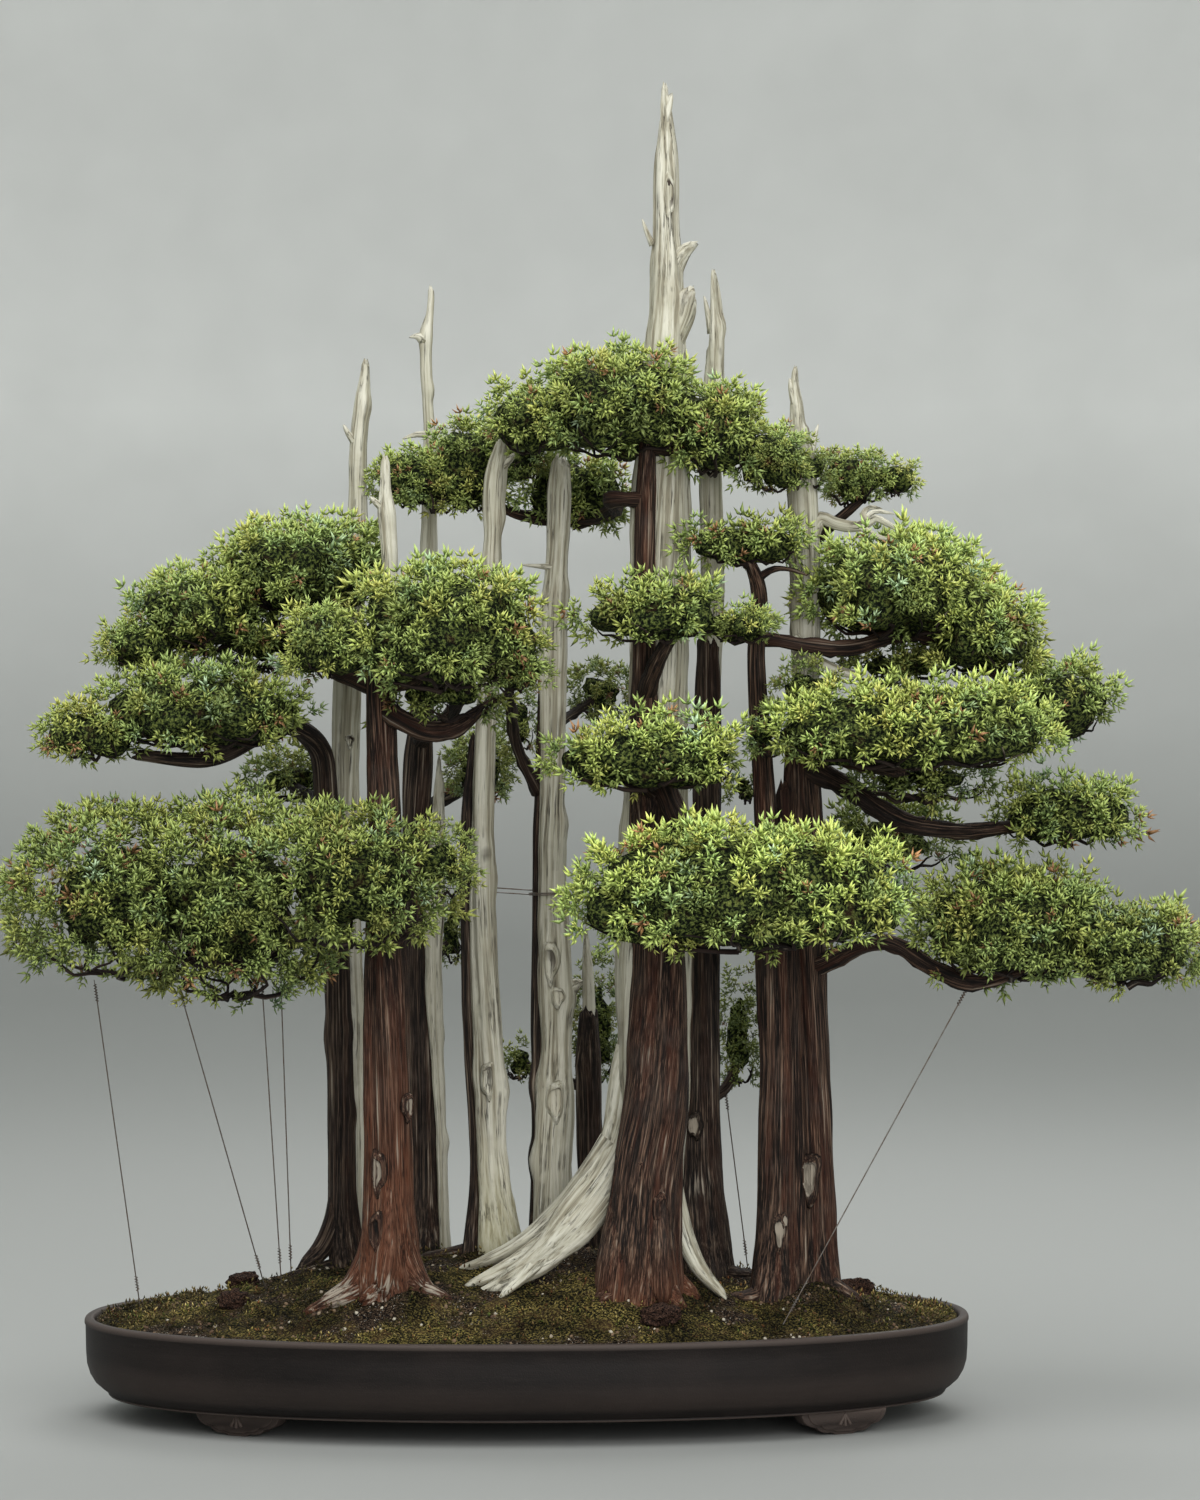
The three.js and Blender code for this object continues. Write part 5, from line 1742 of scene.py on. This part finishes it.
    def grow(self, stamp: Stamp, lump: Lump, seed: int, shade: float) -> np.ndarray:
        """Cover one lump with shoots, gathered into tufts.

        Args:
            stamp: Takes the shoots.
            lump: The lump.
            seed: Picks the lump's unevenness.
            shade: How bright its shoots are. 1 is in the open.

        Returns:
            Middles of the tufts.
        """
        random = np.random.default_rng(seed)
        points, normal, tufts = self.spots(lump, random)
        small = self.shoot_length(lump) / self.length
        level = np.where(normal[:, 2:] < -0.8, 0.3, 1.0) * np.array([0, 0, 1.0]) + np.array([1.0, 1.0, 0])
        off, near, bulge = self.bulge(points, tufts)
        way = 0.85 * normal * level + 0.45 * off + np.array([0, 0, 0.35])
        way = unit(way + random.normal(0, 0.15, points.shape))
        roots = points + normal * ((bulge - 4.0) * small + random.normal(0, 2.0, len(points)))[:, None]
        hue = 0.5 + 0.3 * smooth_noise(points / 24.0, 3) + random.normal(0, 0.14, len(points))
        # Painted light and shade: shoots that face up are lighter, those deep between the tufts darker.
        light = 0.9 + 0.25 * normal[:, 2] - 0.55 * near**3 + random.normal(0, 0.07, len(points))
        roots, hue, light = (np.repeat(values, self.star, axis=0) for values in (roots, hue, light))
        count = len(roots)
        way, leads = self.fanned(way, random)
        leader = self.leader[0] + self.leader[1] * random.random(count) ** 2
        size = self.shoot_length(lump) * random.uniform(0.8, 1.1, count) * np.where(leads, leader, self.side)
        light = np.clip(light, 0, 1) * random.uniform(0.8, 1.0, count) * shade
        hue = np.clip(hue + random.normal(0, 0.08, count), 0, 0.95)
        hue = np.where(random.random(count) < self.brown, 1.0, hue)
        kind = random.integers(0, len(self.shoots), count)
        axes = axes_along(way, random.uniform(0, 2 * math.pi, count), size * MM)
        places = in_frame(roots)
        for i, shape in enumerate(self.shoots):
            own = kind == i
            stamp.add(shape, places[own], axes[own], shape.along, hue[own][:, None], light[own][:, None])
        return tufts

    def heart(self, bm: BMesh, lump: Lump, tufts: np.ndarray, inset: float) -> None:
        """Add the shaded inside of one lump, rough all over, which bulges with the tufts round it."""
        fine = 4 if max(lump[3:5]) > 90 else 3
        verts, ball = add_ball(bm, fine)
        _, _, bulge = self.bulge(self.dome(lump, ball), tufts)
        rough = 3.0 * smooth_noise(ball * lump[3] / 3.0, 14)
        places = self.dome(lump, ball, inset) + ball * (bulge * 0.7 - 3.0 + rough)[:, None]
        move_to(verts, places)

    def twigs(self, timber: Timber, lump: Lump, seed: int) -> None:
        """Fan crooked twigs out under one lump, from its middle to its rim."""
        random = np.random.default_rng(seed)
        x, y, z = lump[:3]
        reach_x, reach_y, _, down = self.reach(lump)
        count = int(np.clip((lump[3] + lump[4]) / 28, 3, 7))
        for i in range(count):
            heading = 2 * math.pi * (i + random.uniform(-0.35, 0.35)) / count
            stout = random.uniform(1.2, 2.0) * min(1.0, lump[3] / 80)
            knots = []
            for t in (0.04, 0.18, 0.34, 0.5, 0.66, 0.82, 0.96):
                bend = heading + random.normal(0, 0.13)
                depth = (1 - t**POWER_BELOW) ** (1 / POWER_BELOW)
                knots.append((
                    x + reach_x * t * math.cos(bend),
                    y + reach_y * t * math.sin(bend),
                    z - down * depth + random.uniform(-3.5, 4.0),
                    stout * (1.15 - t) + 0.5,
                ))
            timber.limb(knots, main=False)
            start = knots[3]
            side = heading + random.choice((-1, 1)) * random.uniform(0.4, 0.7)
            tip = (x + reach_x * 0.9 * math.cos(side), y + reach_y * 0.9 * math.sin(side),
                   z - down * 0.5 - random.uniform(0, 6), 0.7)
            halfway = tuple((a + b) / 2 + random.uniform(-4, 4) for a, b in zip(start[:3], tip[:3]))
            timber.limb([(*start[:3], 1.2), (*halfway, 1.0), tip], main=False)

    def build(self) -> None:
        """Make every pad's shoots, heart and twigs."""
        for i, (name, lumps) in enumerate(PADS.items()):
            stamp = Stamp("leaf")
            hearts = bmesh.new()
            under = Timber(TREES[0], Side.DEADWOOD, coarse=1.7, least_sides=6)
            for k, lump in enumerate([*lumps, *SPRAYS.get(name, ())]):
                shaded = k >= len(lumps) or name.startswith("back")
                shade = SHADED if shaded else TONES.get(name, USUAL)
                tufts = self.grow(stamp, lump, 100 + 10 * i + k, shade)
                self.heart(hearts, lump, tufts, 0.92 if shade > self.bright else 0.6)
                self.twigs(under, lump, 500 + 10 * i + k)
            leaves = stamp.build(f"leaves_{name}", self.finishes.leaves)
            finished(leaves, "foliage", f"foliage_{name}")
            finished(to_object(f"heart_{name}", hearts, self.finishes.pad_heart), "foliage")
            finished(to_object(f"twigs_{name}", under.bm, self.finishes.twig_bark), "dark_bark")


@dataclass
class Ground:
    """The mound of soil with its moss, grit and rocks."""

    finishes: Finishes
    columns: int = 168
    rows: int = 96
    moss_draws: int = 5200
    stone_draws: int = 1900
    reach: float = 215.0
    rock_power: float = 3.4  # 2 is an ellipsoid, and more squares a rock up

    def moss(self, x: np.ndarray, y: np.ndarray) -> np.ndarray:
        """Give how mossy the soil is at places, from 0 to 1."""
        cover = 0.56 + 0.4 * flat_noise(x, y, 46.0, 21) + 0.3 * flat_noise(x, y, 15.0, 22)
        return np.clip(cover, 0, 1)

    def top(self, x: np.ndarray, y: np.ndarray) -> np.ndarray:
        """Give the height of the mossy surface at places, in millimetres."""
        edge = np.clip(4 * (1 - far_out(x, y)), 0.1, 1)
        hummocks = 4.2 * flat_noise(x, y, 26.0, 23) + 3.0 * flat_noise(x, y, 10.0, 24)
        return banked(x, y) + edge * (hummocks + 2.2 * self.moss(x, y) - 1.3)

    def mound(self) -> Object:
        """Make the soil: a grid pressed to the pot's oval and raised, with its wall and floor."""
        bm = bmesh.new()
        cover = bm.verts.layers.float_vector.new("cover")
        verts = bmesh.ops.create_grid(bm, x_segments=self.columns, y_segments=self.rows, size=1.0)["verts"]
        flat = np.array([v.co for v in verts])
        u, v = flat[:, 0], flat[:, 1]
        across, along = u * np.sqrt(1 - v * v / 2), v * np.sqrt(1 - u * u / 2)
        x, y = oval(across * SOIL_HALF_WIDTH, along * SOIL_HALF_WIDTH)
        places = in_frame(np.stack([x, y, self.top(x, y)], axis=1))
        moss = self.moss(x, y)
        for vert, place, share in zip(verts, places, moss):
            vert.co = place
            vert[cover] = (share, 0, 0)
        rim = [edge for edge in bm.edges if edge.is_boundary]
        for drop, shrink in ((-25, 1.0), (-16, 0.972), (-14.6, 0.93)):
            made = bmesh.ops.extrude_edge_only(bm, edges=rim)["geom"]
            lower = [item for item in made if isinstance(item, BMVert)]
            rim = [item for item in made if isinstance(item, BMEdge)]
            bmesh.ops.translate(bm, verts=lower, vec=(0, 0, drop * MM))
            middle = Vector((POT_MIDDLE[0], POT_MIDDLE[1], 0))
            size = Matrix.Diagonal((shrink, shrink, 1, 1))
            space = Matrix.Translation(-middle)
            bmesh.ops.transform(bm, verts=lower, matrix=size, space=space)
        bmesh.ops.holes_fill(bm, edges=rim, sides=0)
        return to_object("ground", bm, self.finishes.moss)

    def scatter(self, count: int, seed: int, mossy: bool) -> tuple[np.ndarray, np.random.Generator]:
        """Draw places on the soil, where it is mossy or where it is bare.

        Args:
            count: How many draws to make before the unfit ones are dropped.
            seed: Picks the draws.
            mossy: Whether the places are mossy ones.

        Returns:
            Places in millimetres, and the draw to go on with.
        """
        random = np.random.default_rng(seed)
        turn = random.uniform(0, 2 * math.pi, count)
        far = np.sqrt(random.random(count)) * self.reach
        x, y = oval(far * np.cos(turn), far * np.sin(turn))
        share = self.moss(x, y)
        fit = share > 0.45 if mossy else share < 0.62
        return np.stack([x, y, self.top(x, y)], axis=1)[fit], random

    def tufts(self) -> Object:
        """Stand short moss shoots on the mossy places."""
        places, random = self.scatter(self.moss_draws, 31, True)
        blade = shoot(7, (2,), 0.6, 0.2)
        way = unit(random.normal(0, 0.45, places.shape) + np.array([0, 0, 1.0]))
        size = random.uniform(3.5, 8.0, len(places)) * MM
        hue = random.uniform(0, 1, len(places))
        patch = 0.5 + 0.45 * smooth_noise(places / 16.0, 33)
        light = patch * random.uniform(0.6, 1.2, len(places))
        axes = axes_along(way, random.uniform(0, 6.28, len(places)), size, 1.5)
        feet = in_frame(places) - np.array([0, 0, 0.8 * MM])
        stamp = Stamp("leaf")
        stamp.add(blade, feet, axes, blade.along, hue[:, None], light[:, None])
        return stamp.build("moss", self.finishes.moss_tips)

    def grit(self) -> Object:
        """Strew small stones on the bare places."""
        places, random = self.scatter(self.stone_draws, 32, False)
        bm = bmesh.new()
        bmesh.ops.create_icosphere(bm, subdivisions=1, radius=1.0)
        corners = np.array([v.co for v in bm.verts])
        faces = np.array([[v.index for v in f.verts] for f in bm.faces])
        bm.free()
        corners = corners * (1 + 0.3 * smooth_noise(corners * 2.1, 4))[:, None]
        stone = Shoot(corners, faces, np.zeros(len(corners)))
        way = unit(random.normal(0, 1, places.shape))
        size = random.uniform(0.7, 1.9, len(places)) * MM
        front = np.where(places[:, 1] < -150, 0.3, 1.0)
        tone = random.random(len(places)) ** front
        axes = axes_along(way, size * 900, size, 1.3)
        stamp = Stamp("leaf")
        stamp.add(stone, in_frame(places), axes, tone[:, None], stone.along, stone.along)
        return stamp.build("grit", self.finishes.stones)

    def rocks(self) -> None:
        """Make the lava rocks."""
        for i, (name, (x, y, half_x, half_y, half_z)) in enumerate(ROCKS.items()):
            bm = bmesh.new()
            verts, ball = add_ball(bm, 4)
            block = (np.abs(ball) ** self.rock_power).sum(axis=1) ** (-1 / self.rock_power)
            rough = 0.88 * block + 0.3 * smooth_noise(ball * 1.9 + i, 51)
            rough += 0.22 * smooth_noise(ball * 4.3 + i, 52)
            rough -= 0.1 * np.maximum(0, smooth_noise(ball * 9.0 + i, 53))
            base = float(banked(np.array(x), np.array(y))) + 0.5 * half_z
            half = np.array([half_x, half_y, half_z])
            places = np.array([x, y, base]) + ball * rough[:, None] * half * 1.05
            move_to(verts, places)
            finished(to_object(f"lava_{name}", bm, self.finishes.lava), "lava_rock", name)

    def build(self) -> None:
        """Make the soil and all that lies on it."""
        finished(self.mound(), "soil", "soil")
        finished(self.tufts(), "soil")
        finished(self.grit(), "soil")
        self.rocks()


def bow(start: Flat, control: Flat, end: Flat) -> list[Flat]:
    """Give points along one scallop, without its end."""
    steps = np.arange(7)[:, None] / 7
    curve = (1 - steps) ** 2 * np.array(start) + 2 * steps * (1 - steps) * np.array(control)
    return [tuple(p) for p in curve + steps**2 * np.array(end)]


def add_plate(bm: BMesh, outline: Sequence[Flat], near: float, far: float) -> list[BMVert]:
    """Add one upright plate with an outline, between two distances along Y, and return its vertices."""
    verts = [bm.verts.new((x, near, z)) for x, z in outline]
    face = bmesh.ops.contextual_create(bm, geom=verts)["faces"]
    raised = bmesh.ops.extrude_face_region(bm, geom=face)["geom"]
    top = [item for item in raised if isinstance(item, BMVert)]
    bmesh.ops.translate(bm, verts=top, vec=(0, far - near, 0))
    return [*verts, *top]


@dataclass
class Pot:
    """The oval pot with its lip, ledge, cloud feet and drain holes."""

    finishes: Finishes
    steps: int = 168
    drain_x: float = 190.0
    drain_radius: float = 15.0
    foot_x: float = 261.0
    foot_shift: float = 14.0
    foot_y: float = 134.0
    foot_turn: float = 0.42
    foot_thickness: float = 18.0
    foot_panel: float = 1.6
    foot_drop: float = 6.0
    smooth_below: float = math.radians(50)

    def profile(self) -> list[Flat]:
        """Give the section from the middle of the underside, out and up, and back in to the middle."""
        under = [(0, FOOT_HEIGHT), (120, FOOT_HEIGHT), (204.5, FOOT_HEIGHT)]
        ledge = [(207.2, 14.3), (208.2, 15.4), (207.6, 16.6), (208.6, 17.6)]
        wall = [(214, 21.6), (220, 27), (224.4, 34.5), (227, 43), (227.8, 54), (228, 66), (228.2, 77.5)]
        edge = [(229, 78.8), (229, 81.2), (228.4, 82.8), (227, 83.7)]
        lip = [*edge, (224, POT_HEIGHT), (221.6, 83.6), (220.2, 82)]
        inside = [(219.4, 74), (218, 56), (215.4, 47), (211, 40), (205, 31), (198, FLOOR_TOP), (0, FLOOR_TOP)]
        return [*under, *ledge, *wall, *lip, *inside]

    def body(self) -> Object:
        """Spin the section and press the round pot to its oval."""
        bm = spun(self.profile(), self.steps, 1e-3)
        places = np.array([v.co for v in bm.verts])
        x, y = oval(places[:, 0], places[:, 1])
        move_to(bm.verts, np.stack([x, y, places[:, 2]], axis=1))
        return to_object("clay_pot", bm, self.finishes.clay)

    def foot(self, bm: BMesh, side_x: int, side_y: int) -> None:
        """Add one cloud foot: a scalloped apron with a raised panel and three ribs.

        Args:
            bm: Takes the foot.
            side_x: Which end of the pot, -1 or 1.
            side_y: Which side of the pot, -1 or 1.
        """
        tall = FOOT_HEIGHT + 1
        low = -tall - self.foot_drop
        outer = bow((41, -4), (38, -13), (27, -14))
        inner = bow((27, -14), (22, -20), (13, -19))
        half_outline = [(42, 0), *outer, *inner, (13, -19), (8, low)]
        outline = [*half_outline, *((-x, z) for x, z in reversed(half_outline))]
        half = self.foot_thickness / 2
        panel = [(x * 0.86, z * 0.84 - 0.6) for x, z in outline]
        whole = add_plate(bm, outline, -half * side_y, half * side_y)
        whole += add_plate(bm, panel, (half - 0.5) * side_y, (half + self.foot_panel) * side_y)
        for lean in (-0.5, 0.0, 0.5):
            made = bmesh.ops.create_cone(bm, cap_ends=True, segments=8, radius1=1.6, radius2=1.1, depth=12)
            rib = made["verts"]
            bmesh.ops.rotate(bm, verts=rib, cent=(0, 0, 5), matrix=Matrix.Rotation(lean, 3, "Y"))
            bmesh.ops.translate(bm, verts=rib, vec=(0, side_y * (half + self.foot_panel), -8))
            whole += rib
        turn = Matrix.Rotation(-side_x * side_y * self.foot_turn, 3, "Z")
        bmesh.ops.rotate(bm, verts=whole, cent=(0, 0, 0), matrix=turn)
        place = (side_x * self.foot_x - side_y * self.foot_shift, side_y * self.foot_y, tall)
        bmesh.ops.translate(bm, verts=whole, vec=place)
        move_to(whole, np.array([v.co for v in whole]))

    def feet(self) -> Object:
        """Make the four feet, with softened edges."""
        bm = bmesh.new()
        for side_x in (-1, 1):
            for side_y in (-1, 1):
                self.foot(bm, side_x, side_y)
        bmesh.ops.recalc_face_normals(bm, faces=bm.faces)
        sharp = [edge for edge in bm.edges if len(edge.link_faces) == 2 and edge.calc_face_angle() > 0.9]
        bmesh.ops.bevel(
            bm, geom=sharp, offset=1.2 * MM, segments=2, profile=0.5, affect="EDGES", material=-1,
            clamp_overlap=True,
        )
        return to_object("pot_feet", bm, self.finishes.clay)

    def drill(self, piece: Object) -> None:
        """Cut the drain holes through the pot's floor."""
        for x in (-self.drain_x, self.drain_x):
            bm = bmesh.new()
            radius = self.drain_radius * MM
            bmesh.ops.create_cone(
                bm, cap_ends=True, segments=40, radius1=radius, radius2=radius, depth=2 * FLOOR_TOP * MM
            )
            bmesh.ops.translate(bm, verts=bm.verts, vec=in_frame(np.array([x, 0, FOOT_HEIGHT])))
            drill = to_object("drill", bm, self.finishes.clay)
            cut = piece.modifiers.new("drain", "BOOLEAN")
            cut.operation = "DIFFERENCE"
            cut.solver = "EXACT"
            cut.object = drill
            drilled = piece.evaluated_get(bpy.context.evaluated_depsgraph_get())
            shape = bpy.data.meshes.new_from_object(drilled)
            piece.modifiers.clear()
            piece.data = shape
            bpy.data.objects.remove(drill)

    def build(self) -> None:
        """Make the pot."""
        body = self.body()
        self.drill(body)
        feet = self.feet()
        for piece in (body, feet):
            piece.data.set_sharp_from_angle(angle=self.smooth_below)
        finished(body, "pot", "pot")
        finished(feet, "pot")


@dataclass
class Wires:
    """The guy wires, each with its ends wound on themselves, and the tie round one trunk."""

    finishes: Finishes
    sides: int = 5
    step: float = 12.0
    tail_radius: float = 0.45
    coil_radius: float = 1.25
    coil_rise: float = 0.44
    coil_start: float = 4.0
    coil_steps: int = 6
    tie_middle: Spot = (21.0, 28.0, 459.0)
    tie_radius: float = 18.2
    tie_steps: int = 24
    tie_turns: int = 2

    def strand(self, timber: Timber, points: Sequence[Spot], radius: float = WIRE_RADIUS) -> None:
        """Add one smooth strand through points."""
        skin = sleeve([(*p, radius) for p in points], self.sides, self.step)
        timber.wrap(in_frame(skin.places), skin.grain * MM, np.zeros(skin.places.shape))

    def winding(self, start: np.ndarray, way: np.ndarray, turns: int) -> list[Spot]:
        """Give the points of a tail wound round a wire, from a start along a way."""
        side = unit(np.cross(way, np.array([0.0, 1.0, 0.0])))
        other = np.cross(way, side)
        points = []
        for i in range(self.coil_steps * turns + 1):
            angle = i * 2 * math.pi / self.coil_steps
            out = self.coil_radius * (math.cos(angle) * side + math.sin(angle) * other)
            points.append(tuple(start + way * (self.coil_start + i * self.coil_rise) + out))
        return points

    def build(self) -> None:
        """Make each wire and the tie."""
        for name, (top, bottom) in WIRES.items():
            timber = Timber(TREES[0], Side.DEADWOOD)
            high, low = np.array(top, float), np.array(bottom, float)
            way = unit(high - low)
            self.strand(timber, [tuple(low), tuple((low + high) / 2), tuple(high)])
            self.strand(timber, self.winding(high, -way, 6), self.tail_radius)
            self.strand(timber, self.winding(low + way * 22, way, 5), self.tail_radius)
            finished(to_object(f"guy_{name}", timber.bm, self.finishes.wire), "wire", name)
        self.tie()

    def tie(self) -> None:
        """Make the tie: two turns round the fifth tree's trunk and two strands to the trunks on its left."""
        timber = Timber(TREES[0], Side.DEADWOOD)
        x, y, z = self.tie_middle
        ring = []
        for i in range(self.tie_steps * self.tie_turns + 1):
            angle = i * 2 * math.pi / self.tie_steps
            across, along = self.tie_radius * math.cos(angle), self.tie_radius * math.sin(angle)
            ring.append((x + across, y + along, z + i * 0.06))
        self.strand(timber, ring)
        for level in (z, z + 4):
            self.strand(timber, [(x - 11, y + 13, level), (-30, 34, level + 3), (-84, 62, level + 7)])
        finished(to_object("tie_wire", timber.bm, self.finishes.wire), "wire")


@dataclass
class Studio:
    """The floor, the light and the camera."""

    finishes: Finishes
    distance: float = 4.09
    height: float = 0.591
    aside: float = 0.0677
    focal_pixels: float = 4530.0
    picture_height: float = 1500.0
    roll: float = math.radians(0.2)

    def build(self) -> None:
        """Set up the studio."""
        self.backdrop()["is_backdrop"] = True
        world = bpy.data.worlds.new("soft light")
        world.use_nodes = True
        background = world.node_tree.nodes["Background"]
        background.inputs["Color"].default_value = srgb(206, 210, 208)
        background.inputs["Strength"].default_value = 1.7
        bpy.context.scene.world = world
        self.softbox("key light", (-0.7, -1.5, 3.3), 2.2, 58.0)
        self.softbox("fill light", (0.9, -3.6, 1.3), 2.6, 100.0)
        self.softbox("back light", (0.6, 2.0, 2.9), 2.0, 45.0)
        bpy.context.scene.view_settings.view_transform = "Standard"
        self.camera()

    def backdrop(self) -> Object:
        """Make the floor, which bends up into a round wall far outside the lights and the camera."""
        bend = [(7.0 + 2.5 * math.sin(a), 2.5 * (1 - math.cos(a))) for a in np.linspace(0, math.pi / 2, 10)]
        section = [(0.0, 0.0), (3.0, 0.0), *bend, (9.5, 7.0)]
        bm = spun([(r, z + CAD_BOX[0].z) for r, z in section], 64, 1e-4)
        floor = to_object("floor", bm, self.finishes.floor)
        floor.data.shade_smooth()
        return floor

    def softbox(self, name: str, place: Spot, size: float, power: float) -> None:
        """Hang one soft light that faces the middle of the forest."""
        lamp = bpy.data.lights.new(name, "AREA")
        lamp.size = size
        lamp.energy = power
        light = bpy.data.objects.new(name, lamp)
        bpy.context.scene.collection.objects.link(light)
        light.location = place
        aim = Vector((0, 0, 0.5)) - Vector(place)
        light.rotation_euler = aim.to_track_quat("-Z", "Y").to_euler()

    def camera(self) -> None:
        """Stand the camera level in front of the pot, at the height of the picture's middle."""
        lens = bpy.data.cameras.new("camera")
        lens.sensor_width = 36.0
        lens.lens = self.focal_pixels * lens.sensor_width / self.picture_height
        view = bpy.data.objects.new("camera", lens)
        bpy.context.scene.collection.objects.link(view)
        view.location = Vector(POT_MIDDLE) + Vector((self.aside, -self.distance, self.height))
        view.rotation_euler = (math.pi / 2, self.roll, 0)
        bpy.context.scene.camera = view


def main() -> None:
    """Dress the whole forest."""
    logging.basicConfig(level=logging.INFO, format="%(message)s")
    finishes = Finishes()
    Pot(finishes).build()
    Ground(finishes).build()
    Wood(finishes).build()
    Foliage(finishes).build()
    Wires(finishes).build()
    for number in (1, 2):
        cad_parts[f"drain_screen_{number}"].material_slots[0].material = finishes.screen
    Studio(finishes).build()
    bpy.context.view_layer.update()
    total = sum(len(p.data.polygons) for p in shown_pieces())
    LOG.info("faces in all: %d", total)


if __name__ == "__main__":
    main()
